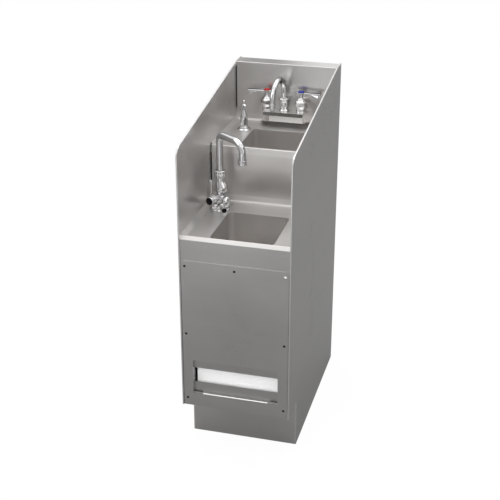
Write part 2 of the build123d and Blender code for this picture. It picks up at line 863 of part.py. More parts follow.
for side, side_name in ((-1, "left"), (1, "right")):
    write(valve_bonnet(side * valve_spacing / 2), f"upper_{side_name}_bonnet")
    write(blade_handle(side * valve_spacing / 2, side), f"upper_{side_name}_handle")
    write(index_button(side * valve_spacing / 2), f"upper_{side_name}_index")

# Spout hub: a turned post on the shelf that the gooseneck swivels in
hub_seat = Plane(origin=(0, faucet_y, faucet_shelf_top), z_dir=(0, 0, 1))
hub_shares = [(1, 0), (0.86, 0.08), (0.82, 0.6), (0.84, 0.66), (1, 0.74), (1, 0.9), (0.88, 1)]
socket_depth = hub_height / 2
with BuildPart() as upper_spout_hub:
    hub_outline = [(0, 0)]
    hub_outline += [(hub_radius * r, hub_height * h) for r, h in hub_shares]
    hub_outline += [
        (gooseneck_radius + running_clearance, hub_height),
        (gooseneck_radius + running_clearance, hub_height - socket_depth),
        (0, hub_height - socket_depth),
    ]
    turn(hub_seat, hub_outline)
write(upper_spout_hub, "upper_spout_hub")

# Gooseneck spout: a tube that rises from the hub, turns over and comes down in front
neck_foot = faucet_shelf_top + hub_height - socket_depth
neck_spring = faucet_shelf_top + hub_height + gooseneck_straight
neck_way = (-math.sin(math.radians(gooseneck_swing)), -math.cos(math.radians(gooseneck_swing)))


def along_neck(reach, z):
    """A point over the line from the hub to the outlet, a reach away from the hub."""
    return (neck_way[0] * reach, faucet_y + neck_way[1] * reach, z)


with BuildPart() as upper_spout:
    with BuildLine() as neck_path:
        Line(along_neck(0, neck_foot), along_neck(0, neck_spring))
        ThreePointArc(
            along_neck(0, neck_spring),
            along_neck(gooseneck_bend, neck_spring + gooseneck_bend),
            along_neck(2 * gooseneck_bend, neck_spring),
        )
        Line(along_neck(2 * gooseneck_bend, neck_spring),
             along_neck(2 * gooseneck_bend, neck_spring - gooseneck_drop))
    with BuildSketch(Plane(origin=(0, faucet_y, neck_foot), z_dir=(0, 0, 1))) as neck_section:
        Circle(gooseneck_radius)
        Circle(gooseneck_radius - gooseneck_wall, mode=Mode.SUBTRACT)
    sweep(neck_section.sketch, path=neck_path.line)
write(upper_spout, "upper_spout")


# Aerators: a collar and a sleeve on the end of each spout, closed by a screen set back in the mouth
def aerator(x, y, top, radius, collar, length, bore):
    seat = Plane(origin=(x, y, top), x_dir=(1, 0, 0), z_dir=(0, 0, -1))
    shares = [(collar / radius, 0), (collar / radius, 0.2), (1, 0.26), (1, 0.9), (0.94, 1)]
    screen_face = length - aerator_screen_setback
    with BuildPart() as piece:
        outline = [(bore, 0)]
        outline += [(radius * r, length * h) for r, h in shares]
        outline += [
            (bore, length),
            (bore, screen_face),
            (0, screen_face),
            (0, screen_face - aerator_screen),
            (bore, screen_face - aerator_screen),
        ]
        turn(seat, outline)
    return piece


upper_aerator_top = neck_spring - gooseneck_drop
neck_outlet = along_neck(2 * gooseneck_bend, upper_aerator_top)
write(
    aerator(neck_outlet[0], neck_outlet[1], upper_aerator_top, upper_aerator_radius, upper_aerator_collar,
            upper_aerator_height, gooseneck_radius - gooseneck_wall),
    "upper_aerator",
)

# Soap dispenser: flange, turned body, sliding head with nozzle, shank nut and bottle
soap_seat = Plane(origin=(soap_x, soap_y, upper_deck_height), z_dir=(0, 0, 1))
soap_flange_shares = [(1, 0), (1, 0.3), (0.86, 0.7), (0.62, 1)]
soap_body_shares = [(1.3, 0), (1.12, 0.1), (1, 0.22), (0.94, 0.62), (0.72, 0.78), (0.46, 0.92), (0.44, 1)]
soap_body_z = upper_deck_height + soap_flange_height
write(turned_shape(soap_seat, soap_flange_radius, soap_flange_height, soap_flange_shares, soap_shank_radius),
      "soap_flange")

with BuildPart() as soap_body:
    body_seat = Plane(origin=(soap_x, soap_y, soap_body_z), z_dir=(0, 0, 1))
    stem_bore = soap_stem_radius + running_clearance
    body_outline = [(stem_bore, 0)]
    body_outline += [(soap_body_radius * r, soap_body_height * h) for r, h in soap_body_shares]
    body_outline += [(stem_bore, soap_body_height)]
    turn(body_seat, body_outline)
    shank_outline = [
        (stem_bore, 0),
        (soap_shank_radius, 0),
        (soap_shank_radius, -soap_shank_length),
        (stem_bore, -soap_shank_length),
    ]
    turn(body_seat, shank_outline)
write(soap_body, "soap_body")

head_z = soap_body_z + soap_body_height + soap_travel + running_clearance
soap_head_shares = [
    (0.4, 0),
    (0.7, 0.12),
    (1, 0.2),
    (1, 0.3),
    (0.45, 0.45),
    (0.3, 0.6),
    (0.5, 0.7),
    (0.54, 0.8),
    (0.4, 0.94),
    (0.1, 1),
]
with BuildPart() as soap_pump_head:
    head_seat = Plane(origin=(soap_x, soap_y, head_z), z_dir=(0, 0, 1))
    head_outline = [(0, 0)]
    head_outline += [(soap_head_radius * r, soap_head_height * h) for r, h in soap_head_shares]
    head_outline += [(0, soap_head_height)]
    turn(head_seat, head_outline)
    stem_foot = -(soap_travel + running_clearance + soap_body_height / 2)
    turn(head_seat, [(0, 0), (soap_stem_radius, 0), (soap_stem_radius, stem_foot), (0, stem_foot)])
    nozzle_z = head_z + soap_head_height / 4
    nozzle_seat = Plane(origin=(soap_x, soap_y, nozzle_z), x_dir=(1, 0, 0), z_dir=(0, -1, 0))
    turn(nozzle_seat, [(0, 0), (soap_nozzle_radius, 0), (soap_nozzle_radius * 0.8, soap_nozzle_reach),
                       (0, soap_nozzle_reach)])
write(soap_pump_head, "soap_pump_head")

with BuildPart() as soap_shank_nut:
    with BuildSketch(Plane.XY.offset(upper_deck_height - sheet)) as nut:
        with Locations((soap_x, soap_y)):
            RegularPolygon(soap_nut_radius, 8)
            Circle(soap_shank_radius, mode=Mode.SUBTRACT)
    extrude(nut.sketch, amount=-soap_nut_height)
write(soap_shank_nut, "soap_shank_nut")

bottle_top = upper_deck_height - sheet - soap_nut_height
with BuildPart() as soap_bottle:
    bottle_seat = Plane(origin=(soap_x, soap_y, bottle_top), x_dir=(1, 0, 0), z_dir=(0, 0, -1))
    wall = soap_bottle_wall
    bottle_outline = [
        (soap_shank_radius, 0),
        (soap_shank_radius + wall, 0),
        (soap_bottle_radius, soap_bottle_radius / 2),
        (soap_bottle_radius, soap_bottle_height),
        (0, soap_bottle_height),
        (0, soap_bottle_height - wall),
        (soap_bottle_radius - wall, soap_bottle_height - wall),
        (soap_bottle_radius - wall, soap_bottle_radius / 2 + wall / 2),
        (soap_shank_radius, wall),
    ]
    turn(bottle_seat, bottle_outline)
write(soap_bottle, "soap_bottle")

# Lower faucet: one post through the deck with a lever valve, a small knob valve and a swivel spout
post_seat = Plane(origin=(lower_faucet_x, lower_faucet_y, lower_deck_height), z_dir=(0, 0, 1))
deck_flange_shares = [(1, 0), (1, 0.2), (0.84, 0.5), (0.62, 0.8), (0.5, 1)]
write(turned_shape(post_seat, deck_flange_radius, deck_flange_height, deck_flange_shares, deck_body_radius),
      "lower_faucet_flange")

lever_z = lower_deck_height + lever_height
knob_z = lower_deck_height + knob_height


def arm_seat(angle, z, reach):
    """The plane on a valve arm's axis, a reach away from the post, at an angle to the right of the front."""
    way = (math.sin(math.radians(angle)), -math.cos(math.radians(angle)), 0)
    origin = (lower_faucet_x + way[0] * reach, lower_faucet_y + way[1] * reach, z)
    return Plane(origin=origin, x_dir=(0, 0, 1), z_dir=way)


post_shares = [
    (1, 0),
    (1, 0.42),
    (0.82, 0.48),
    (0.94, 0.52),
    (1.38, 0.66),
    (1.38, 0.78),
    (1, 0.9),
    (1, 1),
]
lever_arm_shares = [(0.9, 0), (0.9, 0.5), (1.1, 0.56), (1.1, 0.84), (0.8, 0.9), (0.6, 1)]
knob_arm_shares = [(1, 0), (1, 0.7), (0.8, 0.8), (0.7, 1)]
with BuildPart() as lower_faucet_body:
    post_outline = [(0, 0)]
    post_outline += [(deck_body_radius * r, deck_body_height * h) for r, h in post_shares]
    post_outline += [(0, deck_body_height)]
    turn(post_seat, post_outline)
    post_shank = [(0, 0), (shank_radius, 0), (shank_radius, -shank_length), (0, -shank_length)]
    turn(post_seat, post_shank)
    lever_arm = [(0, 0)]
    lever_arm += [(lever_arm_radius * r, lever_arm_length * h) for r, h in lever_arm_shares]
    lever_arm += [(0, lever_arm_length)]
    turn(arm_seat(-lever_arm_angle, lever_z, 0), lever_arm)
    knob_arm = [(0, 0)]
    knob_arm += [(knob_arm_radius * r, knob_arm_length * h) for r, h in knob_arm_shares]
    knob_arm += [(0, knob_arm_length)]
    turn(arm_seat(knob_arm_angle, knob_z, 0), knob_arm)
write(lower_faucet_body, "lower_faucet_body")

# Spout nut: a ribbed nut on the post, open for the tube
nut_z = lower_deck_height + deck_body_height
nut_seat = Plane(origin=(lower_faucet_x, lower_faucet_y, nut_z), z_dir=(0, 0, 1))
spout_nut_bore = lower_tube_radius + running_clearance
spout_nut_shares = [
    (0.82, 0),
    (0.82, 0.2),
    (1, 0.26),
    (1, 0.56),
    (0.9, 0.64),
    (1, 0.72),
    (1, 0.92),
    (0.88, 1),
]
write(turned_shape(nut_seat, deck_nut_radius, deck_nut_height, spout_nut_shares, spout_nut_bore),
      "lower_spout_nut")

# Lower spout: a tube with a tight bend at the top and a wide one over the bowl
spout_way = (math.sin(math.radians(lower_spout_angle)), -math.cos(math.radians(lower_spout_angle)))
tube_foot = nut_z + running_clearance
arm_z = nut_z + deck_nut_height + lower_tube_rise
drop_z = arm_z - lower_tube_wide_bend - lower_tube_drop


def along_arm(reach, z):
    return (lower_faucet_x + spout_way[0] * reach, lower_faucet_y + spout_way[1] * reach, z)


with BuildPart() as lower_spout:
    with BuildLine() as tube_path:
        FilletPolyline(
            along_arm(0, tube_foot),
            along_arm(0, arm_z),
            along_arm(lower_tube_reach, arm_z),
            along_arm(lower_tube_reach, drop_z),
            radius=(lower_tube_tight_bend, lower_tube_wide_bend),
        )
    with BuildSketch(Plane(origin=along_arm(0, tube_foot), z_dir=(0, 0, 1))) as tube_section:
        Circle(lower_tube_radius)
        Circle(lower_tube_radius - lower_tube_wall, mode=Mode.SUBTRACT)
    sweep(tube_section.sketch, path=tube_path.line)
write(lower_spout, "lower_spout")

outlet = along_arm(lower_tube_reach, drop_z)
write(
    aerator(outlet[0], outlet[1], drop_z, lower_aerator_radius, lower_aerator_collar,
            lower_aerator_height, lower_tube_radius - lower_tube_wall),
    "lower_aerator",
)

# Lever: a hub on the lever arm with a flat blade that stands up, and a black index in its end
hub_foot = arm_seat(-lever_arm_angle, lever_z, lever_arm_length + running_clearance)
with BuildPart() as lower_lever:
    turn(hub_foot, [
        (0, 0),
        (lever_hub_radius * 0.7, 0),
        (lever_hub_radius, lever_hub_length / 4),
        (lever_hub_radius, lever_hub_length),
        (0, lever_hub_length),
    ])
    blade_foot = lever_hub_length / 2 - lever_blade_thickness / 2
    blade_reach = lever_arm_length + running_clearance + blade_foot
    with BuildSketch(arm_seat(-lever_arm_angle, lever_z, blade_reach)) as blade:
        with BuildLine():
            Polyline(
                (0, -lever_blade_width / 2),
                (lever_blade_height, -lever_blade_tip_width / 2),
                (lever_blade_height, lever_blade_tip_width / 2),
                (0, lever_blade_width / 2),
                close=True,
            )
        make_face()
        fillet(vertices().sort_by(Axis.X)[-2:], radius=lever_blade_thickness)
    extrude(blade.sketch, amount=lever_blade_thickness)
write(lower_lever, "lower_lever")

index_foot = arm_seat(-lever_arm_angle, lever_z, lever_arm_length + running_clearance + lever_hub_length)
write(turned_shape(index_foot, lever_index_radius, lever_index_height, [(1, 0), (1, 0.5), (0.9, 1)]),
      "lower_lever_index")

# Knob: a slim turned handle with a dark cap on its end
knob_foot = arm_seat(knob_arm_angle, knob_z, knob_arm_length + running_clearance)
knob_shares = [(0.7, 0), (1, 0.14), (1, 0.36), (0.86, 0.44), (0.86, 0.7), (1, 0.8), (1, 1)]
write(turned_shape(knob_foot, knob_radius, knob_length, knob_shares), "lower_knob")
cap_foot = arm_seat(knob_arm_angle, knob_z, knob_arm_length + running_clearance + knob_length)
write(turned_shape(cap_foot, knob_radius, knob_cap_height, [(0.94, 0), (0.9, 0.6), (0.7, 1)]),
      "lower_knob_cap")

# Shank nut and inlet tails under the lower deck
with BuildPart() as lower_shank_nut:
    with BuildSketch(Plane.XY.offset(lower_deck_height - sheet)) as nut:
        with Locations((lower_faucet_x, lower_faucet_y)):
            RegularPolygon(shank_nut_radius, 6)
            Circle(shank_radius, mode=Mode.SUBTRACT)
    extrude(nut.sketch, amount=-locknut_height)
write(lower_shank_nut, "lower_shank_nut")

with BuildPart() as lower_inlet_tails:
    tail_top = lower_deck_height - shank_length
    with BuildSketch(Plane.XY.offset(tail_top)) as tails:
        with Locations((lower_faucet_x - inlet_tail_radius - sheet / 2, lower_faucet_y),
                       (lower_faucet_x + inlet_tail_radius + sheet / 2, lower_faucet_y)):
            Circle(inlet_tail_radius)
            Circle(inlet_tail_radius - inlet_tail_wall, mode=Mode.SUBTRACT)
    extrude(tails.sketch, amount=-inlet_tail_length)
write(lower_inlet_tails, "lower_inlet_tails")


# Drains: a strainer body, a locknut, a tailpiece and a lift-out basket for each bowl
def strainer_body(centre_y, deck_height, bowl_depth):
    seat = drain_seat(centre_y, deck_height, bowl_depth)
    rise = sheet + drain_flange_height
    with BuildPart() as piece:
        turn(seat, [
            (tailpiece_bore, -drain_body_height),
            (drain_body_radius, -drain_body_height),
            (drain_body_radius, sheet),
            (drain_flange_radius, sheet),
            (drain_flange_radius, sheet + drain_flange_height / 2),
            (drain_flange_radius - drain_flange_height, rise),
            (drain_bore, rise),
            (drain_bore, -drain_body_height + drain_flange_height),
            (tailpiece_bore, -drain_body_height + drain_flange_height),
        ])
    return piece


def drain_nut(centre_y, deck_height, bowl_depth):
    with BuildPart() as piece:
        with BuildSketch(drain_seat(centre_y, deck_height, bowl_depth)) as nut:
            RegularPolygon(drain_nut_radius, 8)
            Circle(drain_body_radius, mode=Mode.SUBTRACT)
        extrude(nut.sketch, amount=-drain_nut_height)
    return piece


def tailpiece(centre_y, deck_height, bowl_depth, length):
    seat = drain_seat(centre_y, deck_height, bowl_depth)
    end = -drain_body_height - length
    with BuildPart() as piece:
        turn(seat, [
            (tailpiece_bore, -drain_body_height),
            (tailpiece_radius, -drain_body_height),
            (tailpiece_radius, end),
            (tailpiece_bore, end),
        ])
    return piece


def basket(centre_y, deck_height, bowl_depth):
    """A perforated cup whose rim rests on the strainer's flange, with a knob to lift it by."""
    seat = drain_seat(centre_y, deck_height, bowl_depth)
    rest = sheet + drain_flange_height
    floor = rest - basket_height
    with BuildPart() as piece:
        turn(seat, [
            (0, floor),
            (basket_radius - basket_wall, floor),
            (basket_radius, rest),
            (basket_rim_radius, rest),
            (basket_rim_radius, rest + basket_wall),
            (basket_radius - basket_wall, rest + basket_wall),
            (basket_radius - 2 * basket_wall, floor + basket_wall),
            (basket_knob_radius / 2, floor + basket_wall),
            (basket_knob_radius / 2, floor + basket_knob_height),
            (basket_knob_radius, floor + basket_knob_height),
            (basket_knob_radius, floor + basket_knob_height + basket_knob_radius),
            (0, floor + basket_knob_height + basket_knob_radius),
        ])
        with BuildSketch(seat.offset(floor - basket_wall)) as holes:
            with PolarLocations(basket_hole_ring, basket_hole_count):
                Circle(basket_hole_radius)
        extrude(holes.sketch, amount=3 * basket_wall, mode=Mode.SUBTRACT)
    return piece


# The lower tailpiece takes a share of the way down to the towel box
lower_drain_foot = lower_deck_height - sheet - lower_bowl_depth - drain_body_height
lower_tail_length = lower_tail_share * (lower_drain_foot - tray_z - towel_box_height)
drains = (
    ("lower", lower_bowl_y, lower_deck_height, lower_bowl_depth, lower_tail_length),
    ("upper", upper_bowl_y, upper_deck_height, upper_bowl_depth, tailpiece_length),
)
for tier, centre_y, deck_height, bowl_depth, tail_length in drains:
    write(strainer_body(centre_y, deck_height, bowl_depth), f"{tier}_strainer")
    write(drain_nut(centre_y, deck_height, bowl_depth), f"{tier}_strainer_nut")
    write(tailpiece(centre_y, deck_height, bowl_depth, tail_length), f"{tier}_tailpiece")
    write(basket(centre_y, deck_height, bowl_depth), f"{tier}_basket")
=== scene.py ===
"""A narrow two-tier underbar sink station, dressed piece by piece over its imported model."""
import json
import math

import bmesh
import bpy
import numpy as np
from bpy.props import FloatProperty, FloatVectorProperty, IntProperty, PointerProperty
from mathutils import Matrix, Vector


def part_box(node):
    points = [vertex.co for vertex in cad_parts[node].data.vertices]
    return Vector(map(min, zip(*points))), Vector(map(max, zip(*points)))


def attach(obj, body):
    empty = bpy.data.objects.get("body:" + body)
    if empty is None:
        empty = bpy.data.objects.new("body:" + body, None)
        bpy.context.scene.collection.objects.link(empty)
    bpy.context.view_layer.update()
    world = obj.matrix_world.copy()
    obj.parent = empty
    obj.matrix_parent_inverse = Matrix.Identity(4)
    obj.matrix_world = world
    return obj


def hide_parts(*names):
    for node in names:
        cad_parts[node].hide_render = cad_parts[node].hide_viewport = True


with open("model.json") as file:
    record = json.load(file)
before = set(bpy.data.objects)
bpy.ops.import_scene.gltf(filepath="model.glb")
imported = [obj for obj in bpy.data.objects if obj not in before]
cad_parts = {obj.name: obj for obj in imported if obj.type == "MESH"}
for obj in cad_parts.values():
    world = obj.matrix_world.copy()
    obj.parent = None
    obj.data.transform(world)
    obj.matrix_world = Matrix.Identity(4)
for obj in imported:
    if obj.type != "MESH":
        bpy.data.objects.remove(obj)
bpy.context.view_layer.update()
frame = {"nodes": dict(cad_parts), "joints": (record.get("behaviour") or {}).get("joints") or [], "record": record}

nodes = frame["nodes"]
joints = {joint["name"]: joint for joint in frame["joints"]}

bl_info = {
    "name": "Underbar Sink Station",
    "version": (1, 0, 0),
    "blender": (4, 5, 0),
    "location": "View3D > Sidebar > Sink Station",
    "description": "Dresses a two-tier stainless sink station with its fittings, finishes and studio",
    "category": "Add Mesh",
}


# Colours are linear; lengths are metres
WHITE, BLACK = (1, 1, 1, 1), (0, 0, 0, 1)
# Painted shade on the floor, seen only in the metal: greys by the distance in front of the object, towards the left,
# which stand in for its shadow and turn white about two metres out; and how dark its far bands are
FLOOR_SHADE_STOPS = ((-0.6, 0.21), (0.2, 0.33), (0.8, 0.17), (1.45, 0.165), (1.8, 0.2), (2.15, 0.85), (3.0, 1.0))
FLOOR_DARK = 0.06
# The middle of a side panel's skin: what lies nearer the middle of the object is its inner face
SKIN = 0.1518
# Polished finishes: tint and roughness
PLATED = {
    "faucet_chrome": ((0.84, 0.84, 0.845), 0.012),
    "drain_steel": ((0.62, 0.61, 0.6), 0.12),
    "fitting_brass": ((0.62, 0.45, 0.2), 0.25),
    "tail_copper": ((0.7, 0.35, 0.22), 0.25),
}
# Dull finishes: tint, roughness and, unless they are a plastic's, share of metal and strength of the mirror
MOULDED = {
    "zinc_steel": ((0.42, 0.43, 0.45), 0.45, 1.0),
    "screw_steel": ((0.012, 0.012, 0.012), 0.5, 0.2),
    "blue_index": ((0.006, 0.018, 0.3), 0.35),
    "red_index": ((0.45, 0.003, 0.005), 0.35),
    "black_index": ((0.006, 0.006, 0.006), 0.15, 0.0, 0.12),
    "bottle_plastic": ((0.75, 0.75, 0.72), 0.45),
    "towel_paper": ((0.96, 0.96, 0.96), 0.9),
    # Painted shade: near-black for the strips that stand for the shadow in the corner gaps
    "dark_sealant": ((0.012, 0.012, 0.011), 0.5),
}
# The carried-over parts that a finish is given to by name, whatever their slot says
WORN = {
    "side_steel": ("left_side_panel", "right_side_panel"),
    "front_steel": ("access_panel", "front_apron", "front_stiles", "rear_rails", "bottom_shelf", "shelf_edges"),
    "slot_steel": ("towel_insert",),
    "kick_steel": ("toe_kick",),
    "splash_steel": ("riser_panel", "back_splash"),
    "deck_steel": ("lower_deck", "upper_deck"),
    "shelf_steel": ("faucet_shelf",),
    "bowl_steel": ("lower_bowl", "upper_bowl"),
    "faucet_chrome": ("upper_faucet_body",),
}


class StageSettings(bpy.types.PropertyGroup):
    """Camera, lamps and floor."""

    azimuth: FloatProperty(name="Azimuth", description="How far the camera stands to the right of the front",
                           subtype="ANGLE", default=math.radians(15.159))
    elevation: FloatProperty(name="Elevation", description="How far the camera looks down",
                             subtype="ANGLE", default=math.radians(24.689))
    distance: FloatProperty(name="Distance", description="From the camera to the point it looks at",
                            unit="LENGTH", default=3.15212)
    target: FloatVectorProperty(name="Target", description="The point that the camera looks at",
                                subtype="XYZ", default=(-0.052172, 0.045, 0.47527))
    lens: FloatProperty(name="Lens", description="Focal length in millimetres on a 36 mm sensor", default=77.42)
    key_level: FloatProperty(name="Key level", description="Radiance of the large lamp overhead", default=1.15)
    fill_level: FloatProperty(name="Fill level", description="Radiance of the soft lamp in front", default=1.4)
    sky_level: FloatProperty(name="Sky level", description="How bright the white surroundings light the object",
                             default=1.0)
    floor_size: FloatProperty(name="Floor size", description="Length of the floor's side", unit="LENGTH", default=30)
    front_level: FloatProperty(name="Front card", description="Brightness of the card behind the camera in the metal",
                               default=0.5)
    back_level: FloatProperty(name="Back card", description="Brightness of the card behind the object in the metal",
                              default=0.66)
    side_level: FloatProperty(name="Side cards", description="Brightness of the cards at both sides in the metal",
                              default=0.42)
    towel_level: FloatProperty(name="Front lamp",
                               description="Radiance of the front lamp, which the metal doesn't show", default=3.1)
    floor_shadow: FloatProperty(name="Floor shadow", description="How much of the shadow shows on the white floor",
                                default=0.06)


class SteelSettings(bpy.types.PropertyGroup):
    """Finish of the stainless sheet."""

    # The inner and bowl tints are painted light: brighter copies of the panel tint, to lift the shade round the bowls
    panel_tint: FloatVectorProperty(name="Panel tint", description="Colour of the outer sheets",
                                    subtype="COLOR", default=(0.6, 0.59, 0.582))
    inner_lit_tint: FloatVectorProperty(name="Inner tint", description="Colour of the sheets round the bowls",
                                    subtype="COLOR", default=(0.74, 0.722, 0.708))
    bowl_lit_tint: FloatVectorProperty(name="Bowl tint", description="Colour of the drawn bowls",
                                   subtype="COLOR", default=(0.72, 0.70, 0.682))
    roughness: FloatProperty(name="Roughness", description="Blur of the brushed finish", default=0.32)


class TowelSettings(bpy.types.PropertyGroup):
    """The folded stack behind the slot."""

    count: IntProperty(name="Towels", description="How many folded towels lie in the stack", default=46)


class SizeSettings(bpy.types.PropertyGroup):
    """Small sizes that the frame doesn't give."""

    screw_radius: FloatProperty(name="Screw radius", description="Radius of a panel screw's head", unit="LENGTH",
                                default=0.0038)


def material_nodes(name):
    """A new node material, its node tree and its Principled shader."""
    material = bpy.data.materials.new(name)
    material.use_nodes = True
    tree = material.node_tree
    return material, tree, tree.nodes["Principled BSDF"]


def feed(tree, sockets, values):
    """Gives sockets, by name or number, their values: the output of another node is linked, a constant is set."""
    for key, value in values.items():
        if isinstance(value, bpy.types.NodeSocket):
            tree.links.new(value, sockets[key])
        else:
            sockets[key].default_value = value


def add_node(tree, kind, inputs=(), **values):
    """Adds a node, sets its named properties and feeds its inputs."""
    node = tree.nodes.new(kind)
    for key, value in values.items():
        setattr(node, key, value)
    feed(tree, node.inputs, dict(inputs))
    return node


def object_place(tree):
    """Object coordinates."""
    return add_node(tree, "ShaderNodeTexCoord").outputs["Object"]


def object_noise(tree, scale, stretch=(1, 1, 1), detail=2.0, roughness=0.5, offset=(0, 0, 0)):
    """Noise on object coordinates: stretch is how many times finer it is along each axis."""
    turn = add_node(tree, "ShaderNodeMapping", {"Scale": stretch, "Location": offset, "Vector": object_place(tree)})
    noise = add_node(tree, "ShaderNodeTexNoise", {"Scale": scale, "Detail": detail, "Roughness": roughness,
                                                  "Vector": turn.outputs["Vector"]})
    return noise.outputs["Fac"]


def spread(tree, value, low, high, from_low=0.3, from_high=0.7):
    """Maps a value's range, by default that of a noise, onto another."""
    node = add_node(tree, "ShaderNodeMapRange", {"Value": value, "From Min": from_low, "From Max": from_high,
                                                 "To Min": low, "To Max": high})
    return node.outputs["Result"]


def combine(tree, operation, first, second):
    """One math node of two values."""
    return add_node(tree, "ShaderNodeMath", {0: first, 1: second}, operation=operation).outputs["Value"]


def tinted(tree, tint, factor):
    """A colour multiplied by a varying grey."""
    return add_node(tree, "ShaderNodeVectorMath", {0: tint, "Scale": factor}, operation="SCALE").outputs["Vector"]


def mixed(tree, share, first, second):
    """The second shader for its share, and the first for the rest."""
    return add_node(tree, "ShaderNodeMixShader", {0: share, 1: first, 2: second}).outputs["Shader"]


def bands(tree, low, high, way="X", scale=0.33):
    """Soft-edged bands across one axis, which polished metal shows as streaks."""
    wave = add_node(tree, "ShaderNodeTexWave", {"Scale": scale, "Vector": object_place(tree)},
                    wave_type="BANDS", bands_direction=way)
    return spread(tree, wave.outputs["Fac"], low, high, 0.4, 0.6)


def relief(tree, height, strength):
    """The normal of a bump that is a fifth of a millimetre deep at full strength."""
    bump = add_node(tree, "ShaderNodeBump", {"Height": height, "Strength": strength, "Distance": 0.0002})
    return bump.outputs["Normal"]


def brushed_steel(name, tint, roughness, grain, streak=0.025, bump=0.06, metallic=1.0, painted_inner_light=None):
    """Satin stainless: fine streaks along the grain axis, faint clouds and wipe marks. Where the inner factor is given,
    the inner faces of the side panels are painted that many times as bright as the outer ones: painted light against
    the shade between the panels."""
    material, tree, shader = material_nodes(name)
    fine = [1.0 if axis == grain else 110.0 for axis in "xyz"]
    broad = [0.35 if axis == grain else 4.0 for axis in "xyz"]
    streaks = object_noise(tree, 14.0, fine, detail=3.0, roughness=0.6)
    wipes = object_noise(tree, 6.0, broad, offset=(3.1, 1.7, 5.3))
    clouds = object_noise(tree, 5.5, detail=3.0, offset=(7.0, 2.0, 1.0))
    shade = combine(tree, "MULTIPLY", spread(tree, streaks, 1 - streak, 1 + streak),
                    spread(tree, clouds, 0.97, 1.03))
    shade = combine(tree, "MULTIPLY", shade, spread(tree, wipes, 0.985, 1.015))
    # Painted light: the inner faces of the side panels are made brighter than the outer ones
    if painted_inner_light:
        apart = add_node(tree, "ShaderNodeSeparateXYZ", {"Vector": object_place(tree)})
        within = combine(tree, "LESS_THAN", combine(tree, "ABSOLUTE", apart.outputs["X"], 0), SKIN)
        shade = combine(tree, "MULTIPLY", shade, spread(tree, within, 1.0, painted_inner_light, 0.0, 1.0))
    gloss = combine(tree, "ADD", spread(tree, streaks, roughness - 0.03, roughness + 0.03),
                    spread(tree, clouds, -0.03, 0.03))
    feed(tree, shader.inputs, {"Base Color": tinted(tree, tint, shade), "Roughness": gloss, "Metallic": metallic,
                               "Normal": relief(tree, streaks, bump)})
    return material


def plated(name, tint, roughness):
    """Polished plating: nearly a mirror, with faint water marks and wear in its gloss."""
    material, tree, shader = material_nodes(name)
    marks = object_noise(tree, 60.0, detail=4.0)
    wear = object_noise(tree, 700.0, offset=(2.0, 4.0, 8.0))
    gloss = combine(tree, "ADD", spread(tree, marks, roughness, roughness + 0.035), spread(tree, wear, 0.0, 0.015))
    feed(tree, shader.inputs, {"Base Color": tinted(tree, tint, spread(tree, marks, 0.97, 1.0)), "Roughness": gloss,
                               "Metallic": 1.0, "Specular Tint": (0.15, 0.15, 0.16, 1)})
    return material


def moulded(name, tint, roughness, metallic=0.0, mirror=0.5):
    """Plastic, paint or dull metal with a fine mottle in colour, gloss and relief."""
    material, tree, shader = material_nodes(name)
    mottle = object_noise(tree, 420.0, detail=3.0)
    feed(tree, shader.inputs, {"Base Color": tinted(tree, tint, spread(tree, mottle, 0.9, 1.08)),
                               "Roughness": spread(tree, mottle, roughness - 0.05, roughness + 0.07),
                               "Metallic": metallic, "Specular IOR Level": mirror,
                               "Normal": relief(tree, mottle, 0.08)})
    return material


def repaint(material, *names):
    """Gives CAD nodes a material."""
    for name in names:
        for slot in nodes[name].material_slots:
            slot.material = material


# Shapes are drawn in millimetres, as is the thickness of the sheet metal, and become metres in the mesh
MM = 0.001
SHEET = 1.2
UP = np.array((0.0, 0.0, 1.0))
carriers = {node: body for body, members in frame["record"]["behaviour"]["bodies"].items() for node in members}
slots = {entry["node"]: entry["material_slot"] for entry in frame["record"]["subparts"]}


def unit(vector):
    """A vector, or rows of vectors, at length one."""
    vector = np.asarray(vector, float)
    return vector / np.linalg.norm(vector, axis=-1, keepdims=True)


def soft(outline, cut, rounds=3):
    """Rounds an outline's corners: each round replaces a corner by two points, a limited way along its two runs."""
    line = np.asarray(outline, float)
    for _ in range(rounds):
        run = np.diff(line, axis=0)
        share = np.minimum(0.25, cut / np.maximum(np.linalg.norm(run, axis=1, keepdims=True), 1e-9))
        pairs = np.stack([line[:-1] + run * share, line[1:] - run * share], axis=1)
        line = np.concatenate([line[:1], pairs.reshape(-1, line.shape[1]), line[-1:]])
        cut *= 0.5
    return line


def filled(outline, step):
    """Adds points to an outline so that none of its runs is longer than the step."""
    line = np.asarray(outline, float)
    parts = [line[:1]]
    for start, end in zip(line[:-1], line[1:]):
        count = max(1, math.ceil(np.linalg.norm(end - start) / step))
        parts.append(start + (end - start) * np.linspace(0, 1, count + 1)[1:, None])
    return np.concatenate(parts)


def profile(outline, cut, step, rounds=2):
    """An outline with its corners rounded and its runs filled, for the lathe."""
    return filled(soft(outline, cut, rounds), step)


def around(count):
    """Angles at even steps round a full turn."""
    return np.arange(count) * 2 * np.pi / count


def turned(outline, count=64, sides=0, flats=None, ribs=0, depths=None):
    """Lathe grid: each (radius, height) goes round the z axis. Where flats are given as (height, apothem) pairs, the
    radius is at most the apothem over the cosine of the angle from the nearest flat; ribs take off up to their depth,
    given as (height, depth) pairs, times half of one plus the cosine of the ribs' number times the angle."""
    outline = np.asarray(outline, float)
    angle = around(count)
    radius = np.repeat(outline[:, :1], count, axis=1)
    if sides:
        apothem = np.interp(outline[:, 1], *np.asarray(flats, float).T)[:, None]
        radius = np.minimum(radius, apothem / np.cos(angle % (2 * np.pi / sides) - np.pi / sides))
    if ribs:
        depth = np.interp(outline[:, 1], *np.asarray(depths, float).T)[:, None]
        radius = np.maximum(radius - depth * (0.5 + 0.5 * np.cos(ribs * angle)), np.minimum(radius, 0.01))
    height = np.repeat(outline[:, 1:], count, axis=1)
    return np.stack([radius * np.cos(angle), radius * np.sin(angle), height], axis=-1), True


